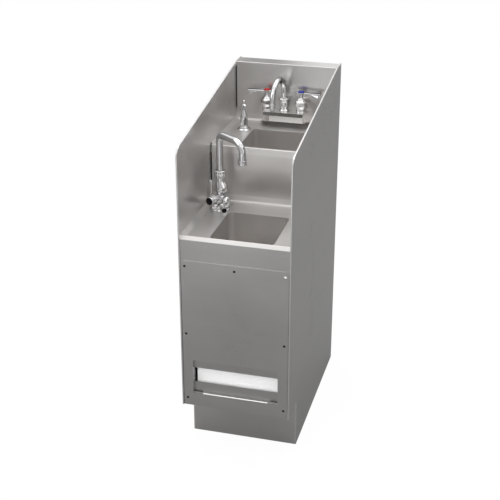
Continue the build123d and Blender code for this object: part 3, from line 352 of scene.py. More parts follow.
def ring(width, depth, power=5, count=32):
    """Rounded rectangle in x and y: a superellipse of the given power."""
    angle = around(count)
    wave = np.stack([np.cos(angle), np.sin(angle)], axis=-1)
    return np.sign(wave) * np.abs(wave) ** (2 / power) * (width / 2, depth / 2)


def route(corners, radii, step=1.2):
    """Points a step apart along runs between corners, each corner cut by the arc that touches both its runs."""
    corners = np.asarray(corners, float)
    points = [corners[:1]]
    for before, corner, after, radius in zip(corners, corners[1:], corners[2:], radii):
        back, ahead = unit(before - corner), unit(after - corner)
        half = np.arccos(np.dot(back, ahead)) / 2
        middle = corner + unit(back + ahead) * radius / np.sin(half)
        first = corner + back * radius / np.tan(half) - middle
        last = corner + ahead * radius / np.tan(half) - middle
        sweep = np.pi - 2 * half
        share = np.linspace(0, 1, 33)[:, None]
        points.append(middle + (first * np.sin((1 - share) * sweep) + last * np.sin(share * sweep)) / np.sin(sweep))
    points.append(corners[-1:])
    line = np.concatenate(points)
    along = np.concatenate([[0], np.cumsum(np.linalg.norm(np.diff(line, axis=0), axis=1))])
    stops = np.linspace(0, along[-1], int(along[-1] / step) + 2)
    return np.stack([np.interp(stops, along, line[:, axis]) for axis in range(3)], axis=-1)


def pipe(path, radius, across, count=32):
    """Tube grid: at each point of a flat path, a circle of the radius that stands square to the path."""
    path = np.asarray(path, float)
    ahead = unit(np.gradient(path, axis=0))
    across = unit(across)
    out = np.cross(ahead, across)
    angle = around(count)
    circle = np.cos(angle)[:, None] * across + np.sin(angle)[:, None] * out[:, None, :]
    return path[:, None, :] + circle * np.reshape(radius, (-1, 1, 1)), True


def loft(*axes):
    """Surface of three coordinates, each given as a grid or as the one row or column that it repeats."""
    return np.stack(np.broadcast_arrays(*axes), axis=-1), True


def at(surface, place, way=UP, across=(1, 0, 0)):
    """Moves a surface drawn round the z axis: z turns to the way, x as near as it can to across."""
    grid, closed = surface
    way = unit(way)
    side = unit(np.asarray(across, float) - np.dot(across, way) * way)
    return np.asarray(place, float) + grid @ np.stack([side, np.cross(way, side), way]), closed


def box_of(name):
    """Lowest and highest corner of a CAD node in millimetres."""
    low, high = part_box(name)
    return np.array(low) / MM, np.array(high) / MM


def middle_of(name, top=False):
    """Middle of a CAD node's underside, or of its top, in millimetres."""
    low, high = box_of(name)
    return np.array((*((low + high) / 2)[:2], (high if top else low)[2]))


def pivot(name):
    """Where a joint is, in millimetres, and which way its axis points."""
    return np.array(joints[name]["pos_m"]) / MM, unit(joints[name]["axis"])


def piece(name, surfaces, material, node=None, sharp=38):
    """One mesh of surfaces, each a grid of points and a flag that is set if its rows close on themselves. It stands
    for a CAD node if one is given, and otherwise belongs to the station."""
    points, faces, start = [], [], 0
    for grid, closed in surfaces:
        rows, columns = grid.shape[:2]
        row, column = np.meshgrid(np.arange(rows - 1), np.arange(columns - (not closed)), indexing="ij")
        here, below, beside = row * columns, (row + 1) * columns, (column + 1) % columns
        quads = [here + column, here + beside, below + beside, below + column]
        points.append(grid.reshape(-1, 3))
        faces.append(np.stack(quads, axis=-1).reshape(-1, 4) + start)
        start += rows * columns
    points, faces = np.concatenate(points) * MM, np.concatenate(faces)
    mesh = bpy.data.meshes.new(name)
    mesh.vertices.add(len(points))
    mesh.vertices.foreach_set("co", points.ravel())
    mesh.loops.add(faces.size)
    mesh.loops.foreach_set("vertex_index", faces.ravel())
    mesh.polygons.add(len(faces))
    mesh.polygons.foreach_set("loop_start", np.arange(0, faces.size, 4))
    mesh.polygons.foreach_set("use_smooth", np.ones(len(faces), bool))
    mesh.update(calc_edges=True)
    joined = bmesh.new()
    joined.from_mesh(mesh)
    bmesh.ops.remove_doubles(joined, verts=joined.verts, dist=2e-6)
    bmesh.ops.recalc_face_normals(joined, faces=joined.faces)
    joined.to_mesh(mesh)
    joined.free()
    mesh.set_sharp_from_angle(angle=math.radians(sharp))
    mesh.materials.append(material)
    made = bpy.data.objects.new(name, mesh)
    bpy.context.scene.collection.objects.link(made)
    if node:
        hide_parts(node)
    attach(made, carriers[node] if node else "station")


# Materials by name: the operator for the sheets and fittings fills this
finishes = {}


class SINK_OT_stage(bpy.types.Operator):
    """Adds the floor, the white surroundings, the lamps and the camera"""

    bl_idname = "sink.stage"
    bl_label = "Stage"

    def execute(self, context):
        stage = context.scene.sink_stage
        scene = context.scene
        world = bpy.data.worlds.new("surroundings")
        scene.world = world
        world.use_nodes = True
        tree = world.node_tree
        sky = tree.nodes["Background"]
        feed(tree, sky.inputs, {"Color": WHITE, "Strength": stage.sky_level})
        white = add_node(tree, "ShaderNodeBackground", {"Color": WHITE})
        path = add_node(tree, "ShaderNodeLightPath").outputs
        seen = combine(tree, "MAXIMUM", path["Is Camera Ray"], path["Is Glossy Ray"])
        seen = combine(tree, "MAXIMUM", seen, path["Is Transmission Ray"])
        shown = mixed(tree, seen, sky.outputs["Background"], white.outputs["Background"])
        feed(tree, tree.nodes["World Output"].inputs, {"Surface": shown})

        half = stage.floor_size / 2
        corners = [(-half, -half, 0), (half, -half, 0), (half, half, 0), (-half, half, 0)]
        self.face(scene, "floor", corners, self.floor_paint(stage))

        target = Vector(stage.target)
        self.lamp(scene, "key_lamp", (0.1, 0.9, 3.4), target, (3.0, 2.4), stage.key_level)
        self.lamp(scene, "fill_lamp", (-2.8, -1.6, 2.6), target, (2.4, 2.4), stage.fill_level)
        self.lamp(scene, "front_lamp", (-0.4, -3.2, 1.3), target, (2.0, 2.0), stage.towel_level).visible_glossy = False
        self.card(scene, "front_card", (0, -3.6), stage.front_level, 0.9)
        self.card(scene, "back_card", (0, 3.6), stage.back_level, 0.7)
        self.card(scene, "right_card", (3.8, 0), stage.side_level, 0.95)
        self.card(scene, "left_card", (-3.8, 0), stage.side_level, 0.95)

        aim = Vector((math.sin(stage.azimuth) * math.cos(stage.elevation),
                      -math.cos(stage.azimuth) * math.cos(stage.elevation), math.sin(stage.elevation)))
        camera = bpy.data.objects.new("camera", bpy.data.cameras.new("camera"))
        camera.data.lens = stage.lens
        camera.data.sensor_width = 36.0
        camera.location = target + aim * stage.distance
        camera.rotation_euler = (-aim).to_track_quat("-Z", "Y").to_euler()
        scene.collection.objects.link(camera)
        scene.camera = camera
        scene.view_settings.view_transform = "Standard"
        return {"FINISHED"}

    def face(self, scene, name, corners, material):
        """A part of the stage that is one flat face."""
        mesh = bpy.data.meshes.new(name)
        mesh.from_pydata(corners, [], [(0, 1, 2, 3)])
        mesh.materials.append(material)
        made = bpy.data.objects.new(name, mesh)
        scene.collection.objects.link(made)
        return made

    def card(self, scene, name, away, level, contrast):
        """An upright card in grey bands, which only the metal sees. It runs along x if it stands off along y."""
        half, foot, height = 3.5, 0.3, 3.1
        ahead = away[1] != 0
        middle, along = np.array((*away, foot)), np.array((half, 0, 0) if ahead else (0, half, 0))
        rise = np.array((0, 0, height))
        corners = [middle - along, middle + along, middle + along + rise, middle - along + rise]
        material, tree, shader = material_nodes(name)
        way, scale = ("X", 0.33) if ahead else ("Y", 0.07)
        grey = bands(tree, level * (1 - contrast), level * (1 + contrast), way, scale)
        feed(tree, shader.inputs, {"Base Color": BLACK, "Specular IOR Level": 0.0, "Emission Color": WHITE,
                                   "Emission Strength": grey})
        card = self.face(scene, name, corners, material)
        card.visible_camera = card.visible_diffuse = card.visible_shadow = card.visible_transmission = False

    def floor_paint(self, stage):
        """White to the camera with a faint shadow; in the metal it is painted shade: a grey that stands in for the
        object's shadow and pales towards the front left.
        """
        material, tree, shader = material_nodes("floor_white")
        ahead = add_node(tree, "ShaderNodeVectorMath", {0: object_place(tree), 1: (-0.5, -0.87, 0)},
                         operation="DOT_PRODUCT").outputs["Value"]
        first, last = -1.0, 3.0
        ramp = add_node(tree, "ShaderNodeValToRGB", {"Fac": spread(tree, ahead, 0, 1, first, last)})
        stops = ramp.color_ramp.elements
        for (where, grey), stop in zip(FLOOR_SHADE_STOPS, list(stops) + [stops.new(0.5) for _ in FLOOR_SHADE_STOPS[2:]]):
            stop.color = (grey, grey, grey, 1)
            stop.position = (where - first) / (last - first)
        dark = combine(tree, "MULTIPLY", spread(tree, ahead, 0, 1, 1.8, 2.15), bands(tree, 1 - FLOOR_DARK, 0))
        feed(tree, shader.inputs, {
            "Base Color": tinted(tree, ramp.outputs["Color"], combine(tree, "SUBTRACT", 1, dark)),
            "Roughness": 0.9, "Specular IOR Level": 0.0})
        lit = add_node(tree, "ShaderNodeBsdfDiffuse", {"Color": (0.97, 0.97, 0.97, 1)})
        white = add_node(tree, "ShaderNodeEmission", {"Color": WHITE})
        shaded = mixed(tree, 1 - stage.floor_shadow, lit.outputs["BSDF"], white.outputs["Emission"])
        path = add_node(tree, "ShaderNodeLightPath").outputs
        seen = combine(tree, "MAXIMUM", path["Is Camera Ray"], path["Is Transmission Ray"])
        gloss = combine(tree, "MULTIPLY", path["Is Glossy Ray"], 0.1)
        shown = mixed(tree, combine(tree, "MAXIMUM", seen, gloss), shader.outputs["BSDF"], shaded)
        feed(tree, tree.nodes["Material Output"].inputs, {"Surface": shown})
        return material

    def lamp(self, scene, name, place, target, size, radiance):
        """A soft rectangular lamp of a given radiance that faces the target."""
        light = bpy.data.lights.new(name, "AREA")
        light.shape = "RECTANGLE"
        light.size, light.size_y = size
        light.energy = radiance * math.pi * size[0] * size[1]
        lamp = bpy.data.objects.new(name, light)
        lamp.location = place
        lamp.rotation_euler = (target - Vector(place)).to_track_quat("-Z", "Y").to_euler()
        scene.collection.objects.link(lamp)
        return lamp


class SINK_OT_sheets(bpy.types.Operator):
    """Mixes the finishes and gives them to the carried-over sheets and fittings"""

    bl_idname = "sink.sheets"
    bl_label = "Sheets and fittings"

    def execute(self, context):
        steel = context.scene.sink_steel
        outer, inner, bowl = (tuple(tint) for tint in (steel.panel_tint, steel.inner_lit_tint, steel.bowl_lit_tint))
        blur = steel.roughness
        # Tint, roughness, grain, strength of the streaks and of their relief, share of metal, and painted light on the
        # inner faces, as how many times as bright they are
        # Painted light and shade: the parts are one stainless steel, but each gets its own brightness. The inner sheets
        # and bowls are painted brighter than the outer sheets, with the riser and back splash a little below the decks;
        # the toe kick is painted brighter, lifting the shade of its recess, and the recessed towel insert a little
        # darker, as shade
        brushed = {
            # The side panels' inner faces are painted 1.32 times as bright as their outer faces, as painted light
            "side_steel": (outer, blur, "y", 0.012, 0.02, 1.0, 1.32),
            "front_steel": (outer, blur, "x"),
            "splash_steel": (tuple(0.93 * share for share in inner), blur, "x", 0.01, 0.015),
            "deck_steel": (inner, blur, "x", 0.012, 0.02, 0.8),
            # Painted highlight: near-white steel for the bars along thin edges
            "edge_steel": ((0.95, 0.94, 0.93), 0.25, "x", 0.01, 0.01),
            # Painted light and shade on the faucet shelf: the shelf and the strip on its face are painted near-white
            # and partly diffuse, as if lit; the band across its top is painted dark, as shade
            "shelf_steel": ((0.95, 0.93, 0.91), blur - 0.12, "x", 0.01, 0.01, 0.85),
            "band_steel": ((0.36, 0.355, 0.35), blur, "x", 0.02, 0.02),
            "face_steel": ((0.97, 0.96, 0.94), blur, "x", 0.01, 0.01, 0.55),
            # Painted highlight: nearly white and hardly metal, for the lip below the slot
            "lip_steel": ((0.97, 0.97, 0.97), blur, "x", 0.01, 0.01, 0.1),
            "slot_steel": (tuple(0.94 * share for share in outer), blur, "x"),
            "kick_steel": (tuple(1.13 * share for share in outer), blur, "x"),
            "bowl_steel": (bowl, blur + 0.04, "y", 0.025, 0.06, 0.88),
        }
        for mix, table in ((brushed_steel, brushed), (plated, PLATED), (moulded, MOULDED)):
            finishes.update({name: mix(name, *values) for name, values in table.items()})
        for name, slot in slots.items():
            if slot in finishes:
                repaint(finishes[slot], name)
        for finish, names in WORN.items():
            repaint(finishes[finish], *names)
        return {"FINISHED"}


class SINK_OT_towels(bpy.types.Operator):
    """Stacks the folded paper towels: each is a flat loop round the fold line, as long as the stack is wide, raised by
    its place in the stack, with its ends and folds a little out of line and a slow wave in its height"""

    bl_idname = "sink.towels"
    bl_label = "Paper towels"

    def execute(self, context):
        count = context.scene.sink_towels.count
        low, high = box_of("paper_towels")
        chance = np.random.default_rng(11)
        pitch = (high[2] - low[2]) / count
        along = np.linspace(0, 1, 42)
        angle = around(20)
        loop = np.stack([np.sign(np.cos(angle)) * np.abs(np.cos(angle)) ** 0.18, np.sin(angle)], axis=-1)
        surfaces = []
        for layer in range(count):
            ends = low[0] + 0.2 + chance.uniform(0, 1.3), high[0] - 0.2 - chance.uniform(0, 1.3)
            front = low[1] + 0.1 + chance.uniform(0, 0.7) + 0.25 * np.sin(along * 9 + chance.uniform(0, 6))
            back = high[1] - 0.2 - chance.uniform(0, 2.0)
            middle, half = (front + back) / 2, (back - front) / 2
            wave = 0.16 * np.sin(along * chance.uniform(5, 9) + chance.uniform(0, 6))
            height = low[2] + pitch * (layer + 0.5) + wave * min(1, layer / 4) * (layer < count - 1)
            surfaces.append(loft((ends[0] + along * (ends[1] - ends[0]))[:, None],
                                 middle[:, None] + half[:, None] * loop[:, 0],
                                 height[:, None] + pitch * 0.49 * loop[:, 1]))
        piece("folded_towels", surfaces, finishes["towel_paper"], "paper_towels", sharp=80)
        return {"FINISHED"}


class SINK_OT_screws(bpy.types.Operator):
    """Puts a dished head with a six-sided socket in each countersink: a lathe grid whose inner rows are capped by six
    flats"""

    bl_idname = "sink.screws"
    bl_label = "Panel screws"

    def execute(self, context):
        low, high = box_of("panel_screws")
        radius = context.scene.sink_sizes.screw_radius / MM
        inset, sunk = 3.9, 0.12
        columns = (low[0] + inset, 0, high[0] - inset)
        rows = (high[2] - inset, (low[2] + high[2]) / 2, low[2] + inset)
        outline = profile([
            (radius, 0.6), (radius, 0.05), (radius - 0.5, -0.1), (1.75, -0.1), (1.65, 0.05), (1.65, 1.3),
            (0.01, 1.4)], 0.15, 0.3)
        flats = [(-1, 9), (0.02, 9), (0.04, 1.42), (2, 1.42)]
        surfaces = []
        for row, height in enumerate(rows):
            # Only the top row has a middle screw, and its right-hand place is empty
            for place in columns[::2] if row else columns[:2]:
                surfaces.append(at(turned(outline, 36, 6, flats), (place, low[1] + sunk, height), (0, 1, 0)))
        piece("socket_screws", surfaces, finishes["screw_steel"], "panel_screws", sharp=30)
        return {"FINISHED"}


class SINK_OT_gap_shadows(bpy.types.Operator):
    """Fills the end gaps of the two upright sheets with near-black strips that paint the shadow in the gaps: a strip
    whose face is hollowed by a sine across its width"""

    bl_idname = "sink.seams"
    bl_label = "Corner gap shadows"

    def execute(self, context):
        low, high = box_of("left_side_panel")
        skin, hem = low[0] + SHEET, high[0]
        low, high = box_of("riser_panel")
        splash_face, splash_top = box_of("faucet_shelf")[1][1], box_of("back_splash")[1][2]
        # The face of each sheet, its top, and how far below that its two painted gap shadows start and end
        sheets = ((low[1], high[2], 4, 108), (splash_face, splash_top, 2, 141))
        surfaces = []
        for face, top, start, end in sheets:
            for side in (1, -1):
                across = np.linspace(skin, hem, 7)
                up = np.linspace(top - end, top - start, 60)[:, None]
                hollow = 2.4 + 0.8 * np.sin((across - skin) / (hem - skin) * np.pi)
                grid = loft(side * across, face + hollow + 0.12 * np.sin(up * 0.7), up)[0]
                surfaces.append((grid, False))
        # Painted shade: the strips are near-black to stand for the shadow in the gaps
        piece("corner_gap_shadows", surfaces, finishes["dark_sealant"], sharp=60)
        return {"FINISHED"}


class SINK_OT_edges(bpy.types.Operator):
    """Adds bright pieces at thin edges: round bars along the access panel's outline, below the slot and at the slot's
    ends, whose near-white steel is a painted highlight, and two flat strips on the front of the faucet shelf, a dark
    one across its top that is painted shade and a pale one below it that is painted light"""

    bl_idname = "sink.edges"
    bl_label = "Rolled edges"

    def execute(self, context):
        low, high = box_of("access_panel")
        inset, chamfer, bend = 0.5, 7, 3
        left, right, foot, top = low[0] + inset, high[0] - inset, low[2] + inset, high[2] - inset
        outline = [(left, foot), (left, high[2] - chamfer), (low[0] + chamfer, top),
                   (high[0] - chamfer, top), (right, high[2] - chamfer), (right, foot)]
        path = route([(x, low[1] + 0.77, z) for x, z in outline], (bend,) * 4, 4.0)
        # The bar's near-white finish paints a highlight along the panel's edge
        piece("panel_edge", [pipe(path, 0.75, (0, 1, 0), 12)], finishes["edge_steel"], sharp=60)

        low, high = box_of("towel_insert")
        border = 7.2
        half, floor = high[0] - border, low[2] + border
        lip = [(x, low[1] + 0.7, floor - 0.2) for x in np.linspace(-half + 28, half - 28, 40)]
        # The lip's nearly white finish paints a highlight below the slot
        piece("slot_lip", [pipe(lip, 1.85, (0, 1, 0), 16)], finishes["lip_steel"], sharp=60)
        bars = []
        for side in (-1, 1):
            end = [(side * (half - 0.6), low[1] + 6.5, z) for z in np.linspace(floor + 32.5, floor + 75.5, 12)]
            bars.append(pipe(end, 0.6, (1, 0, 0), 10))
        piece("slot_edges", bars, finishes["edge_steel"], sharp=60)

        low, high = box_of("faucet_shelf")
        middle = (low[0] + high[0]) / 2
        # Painted shade: a dark strip across the top of the shelf's front
        band = self.strip(middle, 118, low[1], np.linspace(high[2] - 11, high[2] - 0.8, 14))
        piece("shelf_shade_band", [band], finishes["band_steel"], sharp=60)
        # Painted light: a pale strip on the shelf's face below the band
        face = self.strip(middle + 8.5, 100, low[1] + 4, np.linspace(low[2] + 1, high[2] - 11.4, 14))
        piece("shelf_lit_face", [face], finishes["face_steel"], sharp=60)
        return {"FINISHED"}

    def strip(self, middle, width, deep, rise):
        """Loft upward: a thin rounded rectangle that draws in at its first and last rows."""
        base = ring(width, 1.2, 9, 48)
        draw = np.ones(len(rise) + 4)
        draw[[0, 1, -2, -1]] = (0.01, 0.5, 0.5, 0.01)
        rise = np.concatenate([rise[:1], rise[:1], rise, rise[-1:], rise[-1:]])
        return loft(middle + base[:, 0], deep + base[:, 1] * draw[:, None], rise[:, None])


class SINK_OT_valves(bpy.types.Operator):
    """Turns the two valve bonnets, capped by eight flats, and lofts their blade handles: rounded rectangles along the
    blade, with a triangular fin below its outer half, and a domed index on top"""

    bl_idname = "sink.valves"
    bl_label = "Valves and handles"

    def execute(self, context):
        bonnet = profile([
            (0.01, 0), (14.6, 0), (14.6, 1.6), (13.6, 2.8), (13.2, 9.2), (13.4, 10.6), (18.8, 21.0), (19.2, 24),
            (18.6, 28.6), (15.8, 32.4), (12.4, 34.6), (12.0, 36.4), (9.8, 39.0), (6.8, 41.0), (5.8, 42.4),
            (5.6, 50.9), (0.01, 50.9)], 0.5, 0.6)
        flats = [(-1, 40), (2.6, 40), (2.8, 12.7), (10.6, 12.7), (19.0, 17.2), (34.2, 17.2), (34.4, 40)]
        hub = profile([
            (0.01, 0), (5.6, 0), (5.7, 3.0), (7.4, 3.8), (8.8, 4.6), (8.8, 7.0), (8.2, 7.6), (0.01, 7.6)], 0.5, 1.0)
        index = soft([(0.01, 7.4), (8.9, 7.4), (9.3, 7.9), (9.3, 9.6), (8.7, 10.5), (7.2, 10.9), (0.01, 11.0)], 0.6, 3)
        for side, word, colour in ((-1, "left", "red_index"), (1, "right", "blue_index")):
            foot, seat = middle_of(f"upper_{word}_bonnet"), pivot(f"upper_{word}_handle_turn")[0]
            piece(f"{word}_bonnet", [at(turned(bonnet, 96, 8, flats), foot)], finishes["faucet_chrome"],
                  f"upper_{word}_bonnet", sharp=32)
            piece(f"{word}_handle", [at(turned(hub), seat), at(self.blade(), seat, across=(side, 0, 0)),
                                     at(self.fin(side), seat, across=(side, 0, 0))],
                  finishes["faucet_chrome"], f"upper_{word}_handle", sharp=42)
            piece(f"{word}_index", [at(turned(index, 64), seat)], finishes[colour], f"upper_{word}_index")
        return {"FINISHED"}

    def blade(self):
        """Loft along x: widths and thicknesses are read off the distance from the hub, and both ends close."""
        reach = np.concatenate([[-18, -17.9, -17.5, -16.5], np.linspace(-15, 54, 47), [55.6, 56.6, 56.95, 57]])
        close = np.concatenate([[0.02, 0.5, 0.75, 0.93], np.ones(47), [0.95, 0.8, 0.5, 0.02]])
        width = np.interp(reach, [-18, -6, 8, 30, 57], [9, 11.2, 10.8, 13.5, 17.0]) * close
        thick = np.interp(reach, [-18, -6, 8, 57], [3.4, 4.4, 4.4, 3.4])
        top = 7.5 - 0.3 * (reach / 57) ** 2
        base = ring(1, 1, 5, 28)
        return loft(reach[:, None], width[:, None] * base[:, 0],
                    (top - thick / 2)[:, None] + (thick * close)[:, None] * base[:, 1])

    def fin(self, side):
        """Loft along x: a thin upright web whose foot drops as a power of the distance and comes back up at the end."""
        reach = np.concatenate([np.linspace(24, 48, 28), [49.5, 50.6, 51.2, 51.4]])
        drop = 13.6 * np.clip((reach - 24) / 25, 0, 1) ** 1.15
        drop[-3:] *= (0.93, 0.6, 0.1)
        base = ring(1, 1, 4, 20)
        return loft(reach[:, None], -side * (5.4 - 2.2 * base[:, 0]),
                    5.0 - drop[:, None] / 2 + np.maximum(drop, 0.4)[:, None] * base[:, 1])


class SINK_OT_gooseneck(bpy.types.Operator):
    """Turns the spout hub and the aerator and bends the gooseneck: circles along two right-angle bends that meet"""

    bl_idname = "sink.gooseneck"
    bl_label = "Gooseneck spout"

    def execute(self, context):
        chrome = finishes["faucet_chrome"]
        foot = middle_of("upper_spout_hub")
        hub = profile([
            (0.01, 0), (14.0, 0), (14.0, 2.2), (12.8, 3.6), (11.2, 6.5), (10.8, 9), (12.4, 11.6), (12.7, 14),
            (12.3, 22), (12.2, 26.4), (13.6, 28.6), (14.9, 30.2), (14.9, 35.6), (13.6, 37.6), (10.6, 39), (8.6, 40),
            (7.0, 40), (7.0, 34)], 0.7, 0.8, 3)
        flats = [(-1, 40), (28, 40), (28.2, 12.6), (31, 13.9), (35.4, 13.9), (38, 11.4), (38.2, 40)]
        piece("spout_hub", [at(turned(hub, 96, 8, flats), foot)], chrome, "upper_spout_hub", sharp=32)
        radius = 7.6
        swivel, outlet = pivot("upper_spout_swing")[0], middle_of("upper_aerator", top=True)
        away = (outlet - swivel) * (1, 1, 0)
        bend = np.linalg.norm(away) / 2
        crown = np.array((0, 0, box_of("upper_spout")[1][2] - radius - swivel[2]))
        corners = [swivel, swivel + crown, swivel + crown + away, swivel + away + (0, 0, outlet[2] - swivel[2] - 2)]
        path = route(corners, (bend - 0.01, bend - 0.01))
        piece("gooseneck", [pipe(path, radius, np.cross(UP, unit(away)), 36)], chrome, "upper_spout", sharp=60)
        aerator("upper_aerator", "upper_outlet", 10.0, 8.6)
        return {"FINISHED"}


def aerator(node, name, collar, sleeve):
    """Lathe grid down from the spout's end: a knurled collar, a sleeve with a groove and a screen set in its mouth."""
    low, high = box_of(node)
    length = high[2] - low[2]
    outline = profile([
        (sleeve - 3.4, 0), (collar - 0.8, 0), (collar, 0.7), (collar, length * 0.17), (collar - 0.7, length * 0.22),
        (sleeve, length * 0.25), (sleeve, length * 0.62), (sleeve - 0.5, length * 0.65),
        (sleeve - 0.5, length * 0.69), (sleeve, length * 0.72), (sleeve, length * 0.93), (sleeve - 0.6, length),
        (sleeve - 2.4, length), (sleeve - 2.6, length - 1.4), (0.01, length - 1.4)], 0.3, 0.7)
    depths = [(0, 0), (0.5, 0), (0.9, 0.35), (length * 0.15, 0.35), (length * 0.2, 0), (length, 0)]
    surface = at(turned(outline, 96, ribs=24, depths=depths), middle_of(node, top=True), (0, 0, -1))
    piece(name, [surface], finishes["faucet_chrome"], node, sharp=35)


class SINK_OT_deck_faucet(bpy.types.Operator):
    """Turns the lower faucet's flange, its bellied post with two arms, and the ribbed nut, and bends its spout"""

    bl_idname = "sink.deck_faucet"
    bl_label = "Deck faucet"

    def execute(self, context):
        chrome = finishes["faucet_chrome"]
        swivel = pivot("lower_spout_swing")[0]
        foot = np.array((*swivel[:2], box_of("lower_faucet_flange")[0][2]))
        flange = profile([
            (12.2, 0), (27, 0), (27, 2.0), (25.6, 3.4), (24.6, 5.0), (24.2, 11.5), (23.0, 14.2), (20.0, 16),
            (16.0, 17.4), (12.2, 18)], 0.9, 0.9, 3)
        piece("deck_flange", [at(turned(flange), foot)], chrome, "lower_faucet_flange", sharp=50)

        post = profile([
            (0.01, -46), (10.4, -46), (10.4, -1), (12, -1), (12, 17), (13.2, 18.4), (13.2, 21), (11.8, 22.6),
            (11.8, 35), (12.6, 36.4), (12.6, 39), (10.4, 41.6), (10.6, 44.6), (13.0, 49), (16.0, 54), (17.5, 60.5),
            (17.3, 67), (15.4, 74), (12.6, 80.5), (11.4, 83.5), (11.4, 93), (0.01, 93)], 1.2, 1.2, 3)
        grid, closed = turned(post, 72)
        grid[..., 0] += np.interp(grid[..., 2], [28, 42, 56, 68, 80, 90], [0, 1.0, 4.5, 4.2, 1.5, 0])
        surfaces = [at((grid, closed), foot)]
        arm = profile([
            (0.01, 0), (8.6, 0), (8.6, 17), (9.2, 18), (10.6, 19.4), (10.6, 30.6), (9.4, 32), (7.2, 32.8), (6.0, 34),
            (6.0, 36), (0.01, 36)], 0.5, 0.8)
        flats = [(-1, 40), (18.6, 40), (18.8, 9.6), (31.0, 9.6), (31.2, 40)]
        seat, way = pivot("lower_lever_turn")
        surfaces.append(at(turned(arm, 72, 6, flats), (*foot[:2], seat[2]), way, UP))
        arm = profile([
            (0.01, 0), (6.9, 0), (6.9, 19.5), (7.9, 20.4), (7.9, 25.6), (6.6, 26.8), (4.9, 28), (4.9, 30),
            (0.01, 30)], 0.5, 0.8)
        flats = [(-1, 40), (20.0, 40), (20.2, 7.0), (26.0, 7.0), (26.2, 40)]
        seat, way = pivot("lower_knob_turn")
        surfaces.append(at(turned(arm, 72, 6, flats), (*foot[:2], seat[2]), way, UP))
        boss = profile([
            (0.01, 0), (10, 0), (10, 13), (13.5, 16), (16.2, 19), (16.6, 22), (15.4, 25.5), (11.5, 28.6), (6, 30.2),
            (0.01, 30.6)], 0.9, 0.9, 3)
        surfaces.append(at(turned(boss, 72), foot + (0, 0, 25), (0.945, -0.325, 0)))
        piece("faucet_post", surfaces, chrome, "lower_faucet_body", sharp=34)

        nut = profile([
            (8.9, 0), (12.4, 0), (12.8, 3.0), (14.6, 4.4), (15.6, 5.6), (15.6, 10.8), (14.4, 11.8), (14.0, 13.2),
            (14.4, 14.4), (15.6, 15.2), (15.6, 18.8), (14.6, 20.4), (12.8, 21), (8.9, 21)], 0.4, 0.6)
        depths = [(0, 0), (5, 0), (6, 1.0), (10.6, 1.0), (11.6, 0.2), (13, 0.1), (15, 0.9), (18.8, 1.3), (20.6, 0.5),
                  (21, 0)]
        seat = (*swivel[:2], box_of("lower_spout_nut")[0][2])
        piece("crown_nut", [at(turned(nut, 144, ribs=12, depths=depths), seat)], chrome, "lower_spout_nut", sharp=40)

        radius = 9.3
        top = box_of("lower_spout")[1][2] - radius
        base, outlet = swivel + (0, 0, 0.3), middle_of("lower_aerator", top=True)
        corners = [base, (*base[:2], top), (*outlet[:2], top), outlet - (0, 0, 2)]
        path = route(corners, (15, 32))
        reach = unit((outlet - base) * (1, 1, 0))
        piece("swing_spout", [pipe(path, radius, np.cross(UP, reach), 40)], chrome, "lower_spout", sharp=60)
        aerator("lower_aerator", "lower_outlet", 12.6, 11.0)
        return {"FINISHED"}


class SINK_OT_deck_handles(bpy.types.Operator):
    """Turns the lever's hub with its black index and lofts its upright blade, and turns the fluted knob with its cap"""

    bl_idname = "sink.deck_handles"
    bl_label = "Deck faucet handles"

    def execute(self, context):
        chrome = finishes["faucet_chrome"]
        seat, way = pivot("lower_lever_turn")
        hub = profile([
            (0.01, 0), (7.6, 0), (8.2, 1.0), (10.4, 3.0), (11.6, 4.2), (11.6, 13.0), (10.8, 14.6), (9.9, 14.8),
            (9.7, 13.4), (0.01, 13.4)], 0.5, 0.9)
        piece("lever", [at(turned(hub), seat, way), at(self.blade(), seat, way, np.cross(UP, way))], chrome,
              "lower_lever", sharp=42)
        index = soft([(0.01, 13.6), (10.9, 13.6), (10.9, 15.0), (10.0, 16.1), (6.0, 16.9), (0.01, 17)], 0.5, 3)
        piece("lever_index", [at(turned(index), seat, way)], finishes["black_index"], "lower_lever_index")

        seat, way = pivot("lower_knob_turn")
        grip = profile([
            (0.01, 0), (5.2, 0), (5.4, 1.6), (7.0, 3.2), (7.6, 4.4), (7.6, 9.2), (6.7, 10.8), (6.5, 17.8),
            (7.0, 19.4), (7.6, 20.6), (7.6, 25.4), (7.0, 26), (0.01, 26)], 0.4, 0.7)
        depths = [(0, 0), (4.4, 0), (5.0, 0.7), (8.8, 0.7), (9.6, 0), (20.8, 0), (21.4, 0.5), (25.2, 0.5), (25.8, 0)]
        piece("knob", [at(turned(grip, 96, ribs=12, depths=depths), seat, way)], chrome, "lower_knob", sharp=38)
        cap = soft([(0.01, 26), (7.0, 26), (6.9, 27.4), (6.2, 28.4), (4.6, 28.9), (0.01, 29)], 0.5, 3)
        piece("knob_cap", [at(turned(cap), seat, way)], finishes["black_index"], "lower_knob_cap")
        return {"FINISHED"}

    def blade(self):
        """Loft upward: rounded rectangles whose width grows with height and whose last rows draw in to a round end.
        Drawn with the arm along z and the blade's height along y."""
        rise = np.sort(np.concatenate([np.linspace(6, 55, 30), 60 - 5 * np.cos(np.linspace(0.15, 1.5, 12)) ** 2]))
        close = np.sqrt(np.clip(1 - np.clip((rise - 54.9) / 5.1, 0, 1) ** 2, 0.0004, 1))
        width = np.interp(rise, [6, 60], [8, 10.4]) * close
        depth = np.interp(rise, [6, 30, 60], [5.2, 4.2, 4.0]) * np.clip(close * 1.4, 0, 1)
        base = ring(1, 1, 4, 28)
        lean = 0.6 * np.sin(rise / 60 * np.pi)
        return loft(width[:, None] * base[:, 0], rise[:, None], 7.0 + lean[:, None] + depth[:, None] * base[:, 1])


